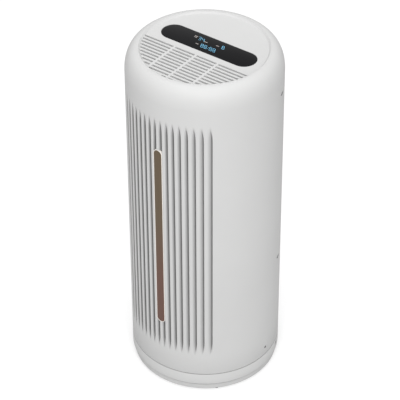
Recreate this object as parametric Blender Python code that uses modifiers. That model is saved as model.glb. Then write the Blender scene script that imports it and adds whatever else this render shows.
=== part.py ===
"""Tower air purifier: a fluted cylinder in two half shells, with the filter below and the fan above.

Frame: metres, +Z up, the front faces -Y, and the origin is the centre of the footprint on the floor.
"""
import math

import bmesh
import bpy
from mathutils import Matrix, Vector

MM = 0.001

# ---- driving dimensions -------------------------------------------------------------------
BODY_R = 110 * MM            # outer radius of the two half shells
BODY_H = 536 * MM            # top of the rim
SHELL_WALL = 2.6 * MM        # general wall of both shells
FLUTE_WALL = 5.4 * MM        # thicker wall of the front shell, behind the flutes
BASE_SEAM_Z = 32 * MM        # parting line between the shells and the twist-off base
FOOT_SEAM_Z = 11.5 * MM      # underside of the twist-off base
RIM_R = BODY_R - 19 * MM     # radius at which the shoulder starts to fall
RIM_FLAT = 0.7 * MM          # level top of the rim, inside the shoulder
PANEL_DROP = 2.8 * MM        # how far the flat of the top panel sits below the rim
LIP_DEPTH = 5.8 * MM         # height of the lip that the top panel catches under
LEDGE_THICK = 3.7 * MM       # ledge inside the shells that carries the top panel's flange
SHOULDER_FALL = 33.5 * MM    # height of the rounded shoulder
SHOULDER_POWER = 2.15        # superellipse exponent of the shoulder
FLUTE_COUNT = 16
FLUTE_PITCH = 9.34 * MM      # spacing of the flutes across the front, measured along X
FLUTE_RADIUS = 2.8 * MM      # radius of the scoop that cuts a flute
FLUTE_TOP_Z = BODY_H - 83 * MM   # full depth ends here
FLUTE_BOTTOM_Z = BASE_SEAM_Z + 62 * MM   # full depth starts here
FLUTE_RUN_OUT = 28 * MM      # length over which a flute fades to the surface
STRIP_WIDTH = 12.6 * MM      # accent strip on the front
STRIP_LENGTH = FLUTE_TOP_Z - FLUTE_BOTTOM_Z - 51 * MM
STRIP_CENTRE_Z = (FLUTE_TOP_Z + FLUTE_BOTTOM_Z) / 2 - 1 * MM
STRIP_THICK = 1.6 * MM
BEZEL_RIM = 0.9 * MM         # visible edge of the strip's bezel
BEZEL_THICK = 3.0 * MM
PANEL_THICK = 4.0 * MM       # top panel
PANEL_UPSTAND = 2.6 * MM     # width of the sloped edge that rises to the rim
PANEL_FLANGE = 5.0 * MM      # width of the flange that catches under the lip
PANEL_FLANGE_THICK = 2.4 * MM
SLOT_ROWS = 11
SLOT_PITCH = 6.57 * MM       # spacing of the outlet slots along Y
SLOT_WIDTH = 3.3 * MM
SLOT_EDGE = 1.4 * MM         # left between a slot's end and the edge of the panel
SLOT_RIB = 3.2 * MM          # cross ribs that break the slots
SLOT_RIB_PITCH = 36.0 * MM
DISPLAY_LENGTH = 2 * RIM_R - 29 * MM
DISPLAY_WIDTH = 36.2 * MM
DISPLAY_CENTRE_Y = 9.6 * MM
SLOT_FIRST_Y = DISPLAY_CENTRE_Y - DISPLAY_WIDTH / 2 - 12.5 * MM
LENS_THICK = 2.0 * MM
DISPLAY_LEDGE = 2.5 * MM     # shelf that carries the lens
FOOT_R = BODY_R - 2.7 * MM
FOOT_WIDTH = 9 * MM
FOOT_GAP = 1.8 * MM          # dark gap between the foot ring and the base
PAD_R = 3.6 * MM
PAD_COUNT = 4
PAD_PROUD = 1.0 * MM         # rubber pads stand below the foot ring by this
PAD_THICK = 3.0 * MM
BASE_WALL = 3 * MM
SPIGOT_R = BODY_R - 8.8 * MM    # ring of the base that turns inside the chassis
SPIGOT_WALL = 3.2 * MM
SPIGOT_RISE = 9 * MM         # the spigot stands this far above the base's seam
LUG_REACH = 4.1 * MM
LUG_WIDTH = 12 * MM
LUG_THICK = 3 * MM
FILTER_R = SPIGOT_R - SPIGOT_WALL - 12 * MM
FILTER_LENGTH = BODY_H - 274 * MM
FILTER_DEPTH = 34 * MM       # from the outside of the filter to its bore
FILTER_CAP = 9 * MM
FILTER_PLEATS = 44
INLET_SLOT_WIDTH = 3.2 * MM
INLET_SLOT_PITCH = 7.4 * MM
INLET_SIDE = 33.4 * MM       # the inlet's slots stop this far inside the body's radius
INLET_ROWS = 2
PLATE_THICK = 3 * MM         # plate between the filter chamber and the fan
FAN_HEIGHT = 46 * MM
FAN_HUB_R = 30 * MM
FAN_BLADES = 9
HOUSING_R = BODY_R - 18 * MM
FAN_R = HOUSING_R - 14 * MM
HOUSING_WALL = 2.4 * MM
SHAFT_R = 3.0 * MM
BEARING_R = 8 * MM
BEARING_HEIGHT = 6 * MM
TWIST_LUGS = 3
TWIST_DEG = 20               # turn between locked and free
SCREW_BELOW_PLATE = 94 * MM   # the lower screws, below the fan's plate
SCREW_BELOW_TOP = 56 * MM    # the upper screws, below the rim
SCREW_AZIMUTH_DEG = 110.5    # from the front, on both sides
GAP = 0.3 * MM               # between pieces that touch
RUN = 2.5 * MM               # clearance round turning pieces
STEPS = 48                   # segments of every large turned piece
SMALL_STEPS = 24             # segments of every small turned piece
FAN_STEPS = 36               # segments of the fan, the motor and the filter
SCREW_SIDES = 10             # segments of screws and of the holes they go in
BIG = 0.4                    # reach of a cutter that passes the whole object

LEDGE_GRIP = 2.5 * MM        # the flange rests this far over the ledge
BAND_MARGIN = 6 * MM         # the thick wall runs past the flutes by this

PANEL_TOP_STEP = 0.3 * MM    # the panel's edge sits this far below the rim
SENSOR_Z = BASE_SEAM_Z + 13.2 * MM
SENSOR_AZIMUTH_DEG = 90      # the sensor looks out through the shells' parting line
SENSOR_WIDTH = 16 * MM
SENSOR_DEPTH = 12.4 * MM
SENSOR_HEIGHT = 12 * MM
SENSOR_DROP = 3.4 * MM       # from the sensor's bore to its underside
VENT_R = 2.3 * MM
INLET_ROW_GAP = 8 * MM
SOCKET_Z = BASE_SEAM_Z + 26 * MM
SOCKET_WIDTH = 26 * MM
SOCKET_HEIGHT = 16 * MM
SOCKET_BACK_Y = BODY_R - 17 * MM
SCREW_R = 1.2 * MM
SCREW_HEAD = 2 * MM
SCREW_HEAD_R = 1.8 * MM
SCREW_WELL_R = 2.2 * MM
SCREW_SEAT_Y = 26 * MM
SCREW_TIP_Y = 3 * MM
BOSS_R = 3.8 * MM
BOSS_REACH = 60 * MM         # the bosses are cut off by the wall before this
BOSS_Y = 12 * MM             # the two shells' screw bosses meet here
CARRIER_DEPTH = 9 * MM
CARRIER_WALL = 1.8 * MM
BOARD_LENGTH = 66 * MM
BOARD_WIDTH = DISPLAY_WIDTH - 2 * CARRIER_WALL - 5.8 * MM
BOARD_THICK = 1.6 * MM
BOARD_LIFT = 2 * MM          # stands that carry the board
GUIDE_LENGTH = 58 * MM
GUIDE_WIDTH = DISPLAY_WIDTH - 2 * DISPLAY_LEDGE - 7.4 * MM
GUIDE_EDGE = 1.3 * MM        # wall outside the two rows of digits
GUIDE_RIB = 5.4 * MM         # wall between the rows
DIGIT_WELLS = [(-16.6 * MM, 9.6 * MM, 1), (3.4 * MM, 22 * MM, -1), (19.5 * MM, 4.8 * MM, 1)]   # x, width, row
LUG_AZIMUTH_DEG = 80
POST_AZIMUTH_DEG = 30
POST_IN_R = FILTER_R + 1.5 * MM
POST_THICK = 4 * MM
FOOT_SPACER_R = FOOT_R - 4.1 * MM
FOOT_SCREW_R = FOOT_R - 5.7 * MM
FOOT_SCREW_AZIMUTH_DEG = 0
FOOT_SCREWS = 3
MARK_AZIMUTH_DEG = 110       # notch on each side of the base that shows how far it is turned
MARK_Z = BASE_SEAM_Z - 8.2 * MM
MARK_WIDTH = 9 * MM
MARK_HEIGHT = 3.8 * MM
MARK_DEPTH = 1.6 * MM
FOOT_HEAD_R = 2.6 * MM
FOOT_SHANK_R = 1.2 * MM
FOOT_SEAT_Z = 3.6 * MM
PREFILTER_WALL = 1.4 * MM
CARBON_WALL = 8 * MM
BACKPLATE = 3 * MM
CUP_RAISE = 6 * MM
CUP_WALL = 2.7 * MM
SLEEVE_WALL = 2.4 * MM
HUB_PLATE_RAISE = 4 * MM
MOUNT_WALL = 4 * MM
EAR_REACH = 2.8 * MM
EAR_R = 4 * MM
EAR_THICK = 5 * MM
EAR_AZIMUTH_DEG = 30
MOUNT_SHANK_R = 1.3 * MM
GUARD_THICK = 2.6 * MM
DUCT_CLEAR = 0.9 * MM        # between the duct's slope and the display carrier
POWER_WIDTH = 62 * MM
POWER_DEPTH = 44 * MM
POWER_HEIGHT = 46 * MM
POWER_Z = BODY_H - 70 * MM
POWER_BACK_Y = HOUSING_R
POWER_RIB_X = 20 * MM

# ---- heights that follow from them --------------------------------------------------------
SHELL_Z = BASE_SEAM_Z + GAP
LIP_R = RIM_R - RIM_FLAT
LIP_Z = BODY_H - LIP_DEPTH
PANEL_R = LIP_R - GAP
PANEL_Z = BODY_H - PANEL_DROP
FLANGE_R = PANEL_R + PANEL_FLANGE
FLANGE_Z = LIP_Z - GAP - PANEL_FLANGE_THICK
LEDGE_Z = FLANGE_Z - GAP
FOOT_TOP_Z = FOOT_SEAM_Z - FOOT_GAP
BASE_FLOOR_Z = FOOT_SEAM_Z + BASE_WALL
SPIGOT_TOP_Z = BASE_SEAM_Z + SPIGOT_RISE
FILTER_BORE_R = FILTER_R - FILTER_DEPTH
FILTER_Z = BASE_FLOOR_Z + 4 * MM
FILTER_TOP_Z = FILTER_Z + FILTER_LENGTH
INLET_TOP_Z = FILTER_TOP_Z - 2.5 * MM
INLET_LOW_Z = SOCKET_Z + SOCKET_HEIGHT / 2 + 8 * MM
INLET_SLOT_LENGTH = (INLET_TOP_Z - INLET_LOW_Z - (INLET_ROWS - 1) * INLET_ROW_GAP) / INLET_ROWS
INLET_SLOT_COUNT = 1 + int((2 * (BODY_R - INLET_SIDE) - INLET_SLOT_WIDTH) / INLET_SLOT_PITCH)
SEAL_THICK = 5 * MM
PLATE_Z = FILTER_TOP_Z + SEAL_THICK + 2 * GAP
SCREW_HEIGHTS = (PLATE_Z - SCREW_BELOW_PLATE, BODY_H - SCREW_BELOW_TOP)
FAN_Z = PLATE_Z + PLATE_THICK + RUN + 3 * MM
MOUNT_Z = FAN_Z + FAN_HEIGHT + RUN
MOUNT_HEIGHT = 26 * MM
GUARD_Z = MOUNT_Z + MOUNT_HEIGHT + GAP
DUCT_BACK_Z = GUARD_Z + 30.6 * MM
CHASSIS_R = BODY_R - FLUTE_WALL - GAP
WEB_Z = SPIGOT_TOP_Z + 2 * MM
WEB_THICK = 3 * MM
CARRIER_Z = PANEL_Z - PANEL_THICK - GAP - CARRIER_DEPTH
DISPLAY_FRONT_Y = DISPLAY_CENTRE_Y - DISPLAY_WIDTH / 2
DUCT_SLOPE = (CARRIER_Z - DUCT_CLEAR - DUCT_BACK_Z) / (HOUSING_R - DISPLAY_FRONT_Y)
DUCT_FRONT_Y = HOUSING_R - (LEDGE_Z - DUCT_BACK_Z) / DUCT_SLOPE


def start_scene():
    for thing in list(bpy.data.objects):
        bpy.data.objects.remove(thing, do_unlink=True)
    parts = bpy.data.collections.new("air_purifier")
    cutters = bpy.data.collections.new("cutters")
    bpy.context.scene.collection.children.link(parts)
    bpy.context.scene.collection.children.link(cutters)
    return parts, cutters


PARTS, CUTTERS = start_scene()


# ---- materials ----------------------------------------------------------------------------
def material(name, colour, roughness, metallic=0.0):
    finish = bpy.data.materials.new(name)
    finish.use_nodes = True
    shader = finish.node_tree.nodes["Principled BSDF"]
    shader.inputs["Base Color"].default_value = (*colour, 1.0)
    shader.inputs["Roughness"].default_value = roughness
    shader.inputs["Metallic"].default_value = metallic
    finish.diffuse_color = (*colour, 1.0)
    return finish


WHITE = material("white_shell", (0.72, 0.72, 0.71), 0.45)
GLOSS_BLACK = material("gloss_black", (0.015, 0.015, 0.017), 0.08)
BRONZE = material("bronze_strip", (0.17, 0.11, 0.08), 0.35, 0.6)
CREAM = material("cream_bezel", (0.70, 0.62, 0.54), 0.35)
GREY = material("grey_plastic", (0.20, 0.20, 0.21), 0.5)
BLACK = material("black_plastic", (0.03, 0.03, 0.03), 0.5)
RUBBER = material("rubber", (0.05, 0.05, 0.05), 0.85)
PAPER = material("filter_paper", (0.80, 0.80, 0.76), 0.9)
CARBON = material("carbon", (0.02, 0.02, 0.02), 0.9)
MESH = material("prefilter_mesh", (0.12, 0.12, 0.13), 0.8)
STEEL = material("steel", (0.55, 0.55, 0.56), 0.3, 1.0)
BOARD = material("circuit_board", (0.02, 0.13, 0.06), 0.5)
COPPER = material("winding_copper", (0.55, 0.25, 0.10), 0.4, 1.0)


# ---- making shapes ------------------------------------------------------------------------
def add(name, mesh, finish, cutter=False):
    thing = bpy.data.objects.new(name, mesh)
    (CUTTERS if cutter else PARTS).objects.link(thing)
    if finish is not None:
        mesh.materials.append(finish)
    if cutter:
        thing.hide_render = True
        thing.display_type = "WIRE"
    return thing


def profile_mesh(name, points, closed):
    mesh = bpy.data.meshes.new(name)
    count = len(points)
    edges = [(i, i + 1) for i in range(count - 1)]
    if closed:
        edges.append((count - 1, 0))
    mesh.from_pydata([(r, 0.0, z) for r, z in points], edges, [])
    return mesh


def turned(name, points, finish, closed=True, steps=STEPS, cutter=False):
    """A profile of (radius, height) points turned round Z: down the outer side, then up the inner."""
    thing = add(name, profile_mesh(name, points, closed), finish, cutter)
    screw = thing.modifiers.new("turn", "SCREW")
    screw.axis = "Z"
    screw.angle = 2 * math.pi
    screw.steps = steps
    screw.render_steps = steps
    screw.use_merge_vertices = True
    screw.merge_threshold = 0.00001
    screw.use_smooth_shade = True
    return thing


def ring(name, outer, inner, low, high, finish, steps=STEPS, cutter=False):
    points = [(outer, high), (outer, low), (inner, low), (inner, high)]
    return turned(name, points, finish, True, steps, cutter)


def disc(name, radius, low, high, finish, steps=SMALL_STEPS, cutter=False):
    points = [(0.0, high), (radius, high), (radius, low), (0.0, low)]
    return turned(name, points, finish, False, steps, cutter)


def block(name, low, high, finish, bevel=0.0, cutter=False):
    shape = bmesh.new()
    bmesh.ops.create_cube(shape, size=1.0)
    size = Vector(high) - Vector(low)
    centre = (Vector(high) + Vector(low)) / 2
    bmesh.ops.scale(shape, vec=size, verts=shape.verts)
    if bevel > 0:
        bmesh.ops.bevel(shape, geom=shape.edges, offset=bevel, offset_type="OFFSET", segments=1,
                        affect="EDGES", profile=0.5, clamp_overlap=True)
    mesh = bpy.data.meshes.new(name)
    shape.to_mesh(mesh)
    shape.free()
    thing = add(name, mesh, finish, cutter)
    thing.location = centre
    return thing


def blocks(name, boxes, finish=None, cutter=True, turns=None):
    """Several separate boxes in one mesh; turns gives each box its angle about Z through the origin."""
    shape = bmesh.new()
    for index, (low, high) in enumerate(boxes):
        made = bmesh.ops.create_cube(shape, size=1.0)["verts"]
        bmesh.ops.scale(shape, vec=Vector(high) - Vector(low), verts=made)
        bmesh.ops.translate(shape, vec=(Vector(high) + Vector(low)) / 2, verts=made)
        if turns:
            bmesh.ops.rotate(shape, cent=(0, 0, 0), verts=made,
                             matrix=Matrix.Rotation(math.radians(turns[index]), 3, "Z"))
    mesh = bpy.data.meshes.new(name)
    shape.to_mesh(mesh)
    shape.free()
    return add(name, mesh, finish, cutter)


def rods(name, places, radius, low, high, sides=SCREW_SIDES, axis="Z", cutter=True, finish=None):
    """Separate round rods in one mesh, at the given places across their axis."""
    shape = bmesh.new()
    turn = Matrix.Rotation(math.radians(-90), 4, "X") if axis == "Y" else Matrix.Identity(4)
    for place in places:
        made = bmesh.ops.create_cone(shape, cap_ends=True, segments=sides, radius1=radius,
                                     radius2=radius, depth=high - low, matrix=turn)["verts"]
        middle = (low + high) / 2
        shift = (place[0], middle, place[1]) if axis == "Y" else (place[0], place[1], middle)
        bmesh.ops.translate(shape, vec=shift, verts=made)
    mesh = bpy.data.meshes.new(name)
    shape.to_mesh(mesh)
    shape.free()
    return add(name, mesh, finish, cutter)


def to_mesh(curve_object):
    """The curve's evaluated mesh, welded, in an object that takes its name and place."""
    bpy.context.view_layer.update()
    name = curve_object.name
    finish = curve_object.data.materials[0] if curve_object.data.materials else None
    cutter = curve_object.name in CUTTERS.objects
    evaluated = curve_object.evaluated_get(bpy.context.evaluated_depsgraph_get())
    mesh = bpy.data.meshes.new_from_object(evaluated)
    place = curve_object.matrix_world.copy()
    bpy.data.objects.remove(curve_object, do_unlink=True)
    shape = bmesh.new()
    shape.from_mesh(mesh)
    bmesh.ops.remove_doubles(shape, verts=shape.verts, dist=0.00002)
    bmesh.ops.recalc_face_normals(shape, faces=shape.faces)
    shape.to_mesh(mesh)
    shape.free()
    mesh.materials.clear()
    thing = add(name, mesh, finish, cutter)
    thing.matrix_world = place
    return thing


def plate(name, outlines, thick, finish, cutter=False):
    """A flat outline, with holes as further outlines, extruded by thick about its own plane."""
    curve = bpy.data.curves.new(name, "CURVE")
    curve.dimensions = "2D"
    curve.fill_mode = "BOTH"
    curve.extrude = thick / 2
    for outline in outlines:
        spline = curve.splines.new("POLY")
        spline.points.add(len(outline) - 1)
        for point, (x, y) in zip(spline.points, outline):
            point.co = (x, y, 0.0, 1.0)
        spline.use_cyclic_u = True
    if finish is not None:
        curve.materials.append(finish)
    thing = bpy.data.objects.new(name, curve)
    (CUTTERS if cutter else PARTS).objects.link(thing)
    if cutter:
        thing.hide_render = True
        thing.display_type = "WIRE"
    return thing


def capsule(length, width, arc=10):
    """Outline of a round-ended bar along X, centred on the origin."""
    radius = width / 2
    reach = length / 2 - radius
    points = []
    for side in (1, -1):
        for i in range(arc + 1):
            angle = math.radians(-90 + 180 * i / arc)
            points.append((side * (reach + radius * math.cos(angle)), side * radius * math.sin(angle)))
    return points


def circle(radius, count, phase=0.0):
    return [(radius * math.cos(phase + 2 * math.pi * i / count),
             radius * math.sin(phase + 2 * math.pi * i / count)) for i in range(count)]


def boolean(thing, other, operation="DIFFERENCE"):
    step = thing.modifiers.new(operation.lower(), "BOOLEAN")
    step.operation = operation
    step.solver = "EXACT"
    step.object = other


def on_wall(azimuth_deg, radius=BODY_R):
    """The point on a cylinder at an angle from the front, positive towards +X."""
    angle = math.radians(azimuth_deg)
    return radius * math.sin(angle), -radius * math.cos(angle)


# ---- shells -------------------------------------------------------------------------------
def shoulder_radius(z, inset=0.0):
    """Radius of the rounded shoulder at height z, inset from the outside by a wall."""
    rise = max(0.0, (z - (BODY_H - SHOULDER_FALL)) / (SHOULDER_FALL - inset))
    share = max(0.0, 1 - rise ** SHOULDER_POWER) ** (1 / SHOULDER_POWER)
    return RIM_R + (BODY_R - RIM_R - inset) * share


def shoulder(inset, low=None, high=None, count=10):
    """Points up the shoulder, closer together where it turns over, between two heights."""
    points = []
    start = BODY_H - SHOULDER_FALL
    for i in range(count + 1):
        z = start + (SHOULDER_FALL - inset) * math.sin(math.radians(90) * i / count)
        if (low is None or z > low) and (high is None or z < high):
            points.append((shoulder_radius(z, inset), z))
    return points


def shell_profile(front):
    wall_r = BODY_R - SHELL_WALL
    thick_r = BODY_R - FLUTE_WALL
    ledge_r = FLANGE_R - LEDGE_GRIP
    ledge_low = LEDGE_Z - LEDGE_THICK
    outside = shoulder(0.0)
    outside.reverse()
    points = [(LIP_R, LIP_Z), (LIP_R, BODY_H)] + outside + [(BODY_R, SHELL_Z), (wall_r, SHELL_Z)]
    if front:
        low = FLUTE_BOTTOM_Z - FLUTE_RUN_OUT - BAND_MARGIN
        high = FLUTE_TOP_Z + FLUTE_RUN_OUT + BAND_MARGIN
        slope = FLUTE_WALL - SHELL_WALL
        points += [(wall_r, low), (thick_r, low + slope), (thick_r, high - slope), (wall_r, high)]
    points += shoulder(SHELL_WALL, high=ledge_low - 4 * MM)
    points += [(shoulder_radius(ledge_low - 2 * MM, SHELL_WALL), ledge_low - 2 * MM)]
    points += [(ledge_r, ledge_low), (ledge_r, LEDGE_Z)]
    points += [(shoulder_radius(LEDGE_Z, SHELL_WALL), LEDGE_Z)]
    points += [(shoulder_radius(LIP_Z, SHELL_WALL), LIP_Z)]
    return points


def flute_cutters():
    """One scoop for each flute: a round bar that sinks into the wall and rises out at both ends."""
    made = []
    lift = FLUTE_RADIUS + 1 * MM
    for i in range(FLUTE_COUNT):
        x = (i - (FLUTE_COUNT - 1) / 2) * FLUTE_PITCH
        azimuth = math.degrees(math.asin(x / BODY_R))
        curve = bpy.data.curves.new(f"flute_cutter_{i + 1}", "CURVE")
        curve.dimensions = "3D"
        curve.bevel_depth = FLUTE_RADIUS
        curve.bevel_resolution = 3
        curve.use_fill_caps = True
        spline = curve.splines.new("POLY")
        route = [(FLUTE_BOTTOM_Z - FLUTE_RUN_OUT, lift), (FLUTE_BOTTOM_Z - FLUTE_RUN_OUT / 2, lift * 0.3),
                 (FLUTE_BOTTOM_Z, 0.0), (FLUTE_TOP_Z, 0.0), (FLUTE_TOP_Z + FLUTE_RUN_OUT / 2, lift * 0.3),
                 (FLUTE_TOP_Z + FLUTE_RUN_OUT, lift)]
        spline.points.add(len(route) - 1)
        for point, (z, out) in zip(spline.points, route):
            px, py = on_wall(azimuth, BODY_R + out)
            point.co = (px, py, z, 1.0)
        thing = bpy.data.objects.new(curve.name, curve)
        CUTTERS.objects.link(thing)
        thing.hide_render = True
        thing.display_type = "WIRE"
        made.append(to_mesh(thing))
    return made


def upright_capsule(name, length, width, front_y, depth, finish, hole=None, cutter=False):
    """A round-ended bar standing on the front, from front_y inwards by depth."""
    outlines = [capsule(length, width)]
    if hole:
        outlines.append(capsule(*hole))
    thing = plate(name, outlines, depth, finish, cutter)
    thing.rotation_euler = (math.radians(90), math.radians(90), 0.0)
    thing.location = (0.0, front_y + depth / 2, STRIP_CENTRE_Z)
    return to_mesh(thing)


BEZEL_Y = -BODY_R            # the bezel is flat, and flush with the shell along its middle
BEZEL_LENGTH = STRIP_LENGTH + 2 * BEZEL_RIM
BEZEL_WIDTH = STRIP_WIDTH + 2 * BEZEL_RIM


def make_front_shell():
    shell = turned("front_shell", shell_profile(True), WHITE)
    half = block("front_half_cutter", (-BIG, -GAP / 2, -BIG), (BIG, BIG, 2 * BIG), None, cutter=True)
    boolean(shell, half)
    for scoop in flute_cutters():
        boolean(shell, scoop)
    pocket = upright_capsule("strip_pocket_cutter", BEZEL_LENGTH + 2 * GAP, BEZEL_WIDTH + 2 * GAP,
                             -BODY_R - 5 * MM, 5 * MM + BEZEL_THICK + GAP, None, cutter=True)
    boolean(shell, pocket)
    boolean(shell, vent_cutter("front"))
    add_screw_posts(shell)
    return shell


def vent_cutter(side):
    """The sensor's round hole, half in each shell."""
    vent = rods(f"{side}_vent_cutter", [(0, SENSOR_Z)], VENT_R, -BODY_R - 5 * MM, -BODY_R + 8 * MM,
                SMALL_STEPS, "Y")
    vent.rotation_euler = (0, 0, math.radians(SENSOR_AZIMUTH_DEG))
    return vent


def screw_places():
    """The rear shell's screws, as (x, z), on both sides."""
    places = []
    for side in (1, -1):
        for z in SCREW_HEIGHTS:
            places.append((on_wall(side * SCREW_AZIMUTH_DEG)[0], z))
    return places


def add_screw_posts(shell):
    """Posts on the front shell that the rear shell's screws bite into."""
    inside = BODY_R - SHELL_WALL - GAP
    boolean(shell, boss_guide("front", -BOSS_REACH, BOSS_Y - GAP, inside), "UNION")
    holes = rods("front_post_hole", screw_places(), SCREW_R + GAP, SCREW_TIP_Y - GAP, SCREW_SEAT_Y, axis="Y")
    boolean(shell, holes)


def boss_guide(side, low, high, reach):
    """Round bosses on the screws' axes, cut off at a radius inside the wall."""
    bosses = rods(f"{side}_boss_guide", screw_places(), BOSS_R, low, high, axis="Y")
    boolean(bosses, ring(f"{side}_boss_trim", BODY_R + BOSS_REACH, reach, 0.0, BODY_H, None, cutter=True))
    return bosses


def make_rear_shell():
    shell = turned("rear_shell", shell_profile(False), WHITE)
    half = block("rear_half_cutter", (-BIG, -BIG, -BIG), (BIG, GAP / 2, 2 * BIG), None, cutter=True)
    boolean(shell, half)
    boxes = []
    for row in range(INLET_ROWS):
        high = INLET_TOP_Z - row * (INLET_SLOT_LENGTH + INLET_ROW_GAP)
        for column in range(INLET_SLOT_COUNT):
            x = (column - (INLET_SLOT_COUNT - 1) / 2) * INLET_SLOT_PITCH
            boxes.append(((x - INLET_SLOT_WIDTH / 2, BODY_R * 0.4, high - INLET_SLOT_LENGTH),
                          (x + INLET_SLOT_WIDTH / 2, BODY_R + 10 * MM, high)))
    boolean(shell, blocks("inlet_slot_cutter", boxes))
    boolean(shell, boss_guide("rear", BOSS_Y, BOSS_REACH, BODY_R - 1 * MM), "UNION")
    boolean(shell, rods("screw_well_cutter", screw_places(), SCREW_WELL_R, SCREW_SEAT_Y, BODY_R, axis="Y"))
    boolean(shell, rods("screw_hole_cutter", screw_places(), SCREW_R + GAP, BOSS_Y / 2, SCREW_SEAT_Y + 1 * MM,
                        axis="Y"))
    boolean(shell, vent_cutter("rear"))
    ribs = [((side * POWER_RIB_X - 1.5 * MM, POWER_BACK_Y + GAP, POWER_Z + 4 * MM),
             (side * POWER_RIB_X + 1.5 * MM, BODY_R - 1.5 * MM, POWER_Z + POWER_HEIGHT - 4 * MM))
            for side in (1, -1)]
    boolean(shell, blocks("power_rib_guide", ribs), "UNION")
    socket = block("socket_cutter",
                   (-SOCKET_WIDTH / 2 - GAP, BODY_R - 30 * MM, SOCKET_Z - SOCKET_HEIGHT / 2 - GAP),
                   (SOCKET_WIDTH / 2 + GAP, BODY_R + 20 * MM, SOCKET_Z + SOCKET_HEIGHT / 2 + GAP), None,
                   cutter=True)
    boolean(shell, socket)
    return shell


def screw(name, head_r, head_height, shank_r, length, finish=STEEL):
    """A turned screw along +Z: its tip at the origin and its head on top."""
    points = [(0.0, length + head_height), (head_r, length + head_height * 0.5), (head_r, length),
              (shank_r, length), (shank_r, shank_r), (0.0, 0.0)]
    return turned(name, points, finish, False, SCREW_SIDES)


def make_rear_screws():
    for index, (x, z) in enumerate(screw_places()):
        made = screw(f"rear_screw_{index + 1}", SCREW_HEAD_R, SCREW_HEAD, SCREW_R,
                     SCREW_SEAT_Y + GAP - SCREW_TIP_Y)
        made.rotation_euler = (math.radians(-90), 0, 0)
        made.location = (x, SCREW_TIP_Y, z)


# ---- front strip --------------------------------------------------------------------------
def make_strip():
    bezel = upright_capsule("strip_bezel", BEZEL_LENGTH, BEZEL_WIDTH, BEZEL_Y, BEZEL_THICK, CREAM)
    seat = upright_capsule("strip_seat_cutter", STRIP_LENGTH + 2 * GAP, STRIP_WIDTH + 2 * GAP,
                           BEZEL_Y - 1 * MM, 1 * MM + STRIP_THICK + GAP, None, cutter=True)
    boolean(bezel, seat)
    upright_capsule("accent_strip", STRIP_LENGTH, STRIP_WIDTH, BEZEL_Y + 0.1 * MM, STRIP_THICK, BRONZE)


# ---- top panel and display ----------------------------------------------------------------
def slot_boxes():
    """Outlet slots: rows along X, cut short at the panel's edge and broken by the cross ribs."""
    reach = PANEL_R - SLOT_EDGE
    ribs = [-SLOT_RIB_PITCH, 0.0, SLOT_RIB_PITCH]
    boxes = []
    for row in range(SLOT_ROWS):
        y = SLOT_FIRST_Y - row * SLOT_PITCH
        far = abs(y) + SLOT_WIDTH / 2
        if far >= reach:
            continue
        half = math.sqrt(reach * reach - far * far)
        edges = [-half] + [x for x in ribs if abs(x) < half - 2 * SLOT_RIB] + [half]
        for left, right in zip(edges, edges[1:]):
            low = left + (SLOT_RIB / 2 if left in ribs else 0.0)
            high = right - (SLOT_RIB / 2 if right in ribs else 0.0)
            boxes.append(((low, y - SLOT_WIDTH / 2, PANEL_Z - 20 * MM),
                          (high, y + SLOT_WIDTH / 2, PANEL_Z + 20 * MM)))
    return boxes


def flat_capsule(name, length, width, low, high, finish, cutter=False):
    """A round-ended plate lying at the display's place, between two heights."""
    thing = plate(name, [capsule(length, width)], high - low, finish, cutter)
    thing.location = (0.0, DISPLAY_CENTRE_Y, (low + high) / 2)
    return to_mesh(thing)


def make_top_panel():
    flat_r = PANEL_R - PANEL_UPSTAND
    top = BODY_H - PANEL_TOP_STEP
    points = [(0.0, PANEL_Z), (flat_r, PANEL_Z), (PANEL_R - 0.4 * MM, top), (PANEL_R, top),
              (PANEL_R, LIP_Z - GAP), (FLANGE_R, LIP_Z - GAP), (FLANGE_R, FLANGE_Z),
              (flat_r, FLANGE_Z), (flat_r - 1 * MM, PANEL_Z - PANEL_THICK), (0.0, PANEL_Z - PANEL_THICK)]
    panel = turned("top_panel", points, WHITE, False)
    boolean(panel, blocks("outlet_slot_cutter", slot_boxes()))
    boolean(panel, flat_capsule("lens_pocket_cutter", DISPLAY_LENGTH + 2 * GAP, DISPLAY_WIDTH + 2 * GAP,
                                PANEL_Z - LENS_THICK - GAP, PANEL_Z + 20 * MM, None, True))
    boolean(panel, flat_capsule("window_cutter", DISPLAY_LENGTH - 2 * DISPLAY_LEDGE,
                                DISPLAY_WIDTH - 2 * DISPLAY_LEDGE, PANEL_Z - 20 * MM, PANEL_Z + 1 * MM,
                                None, True))
    return panel


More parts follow.
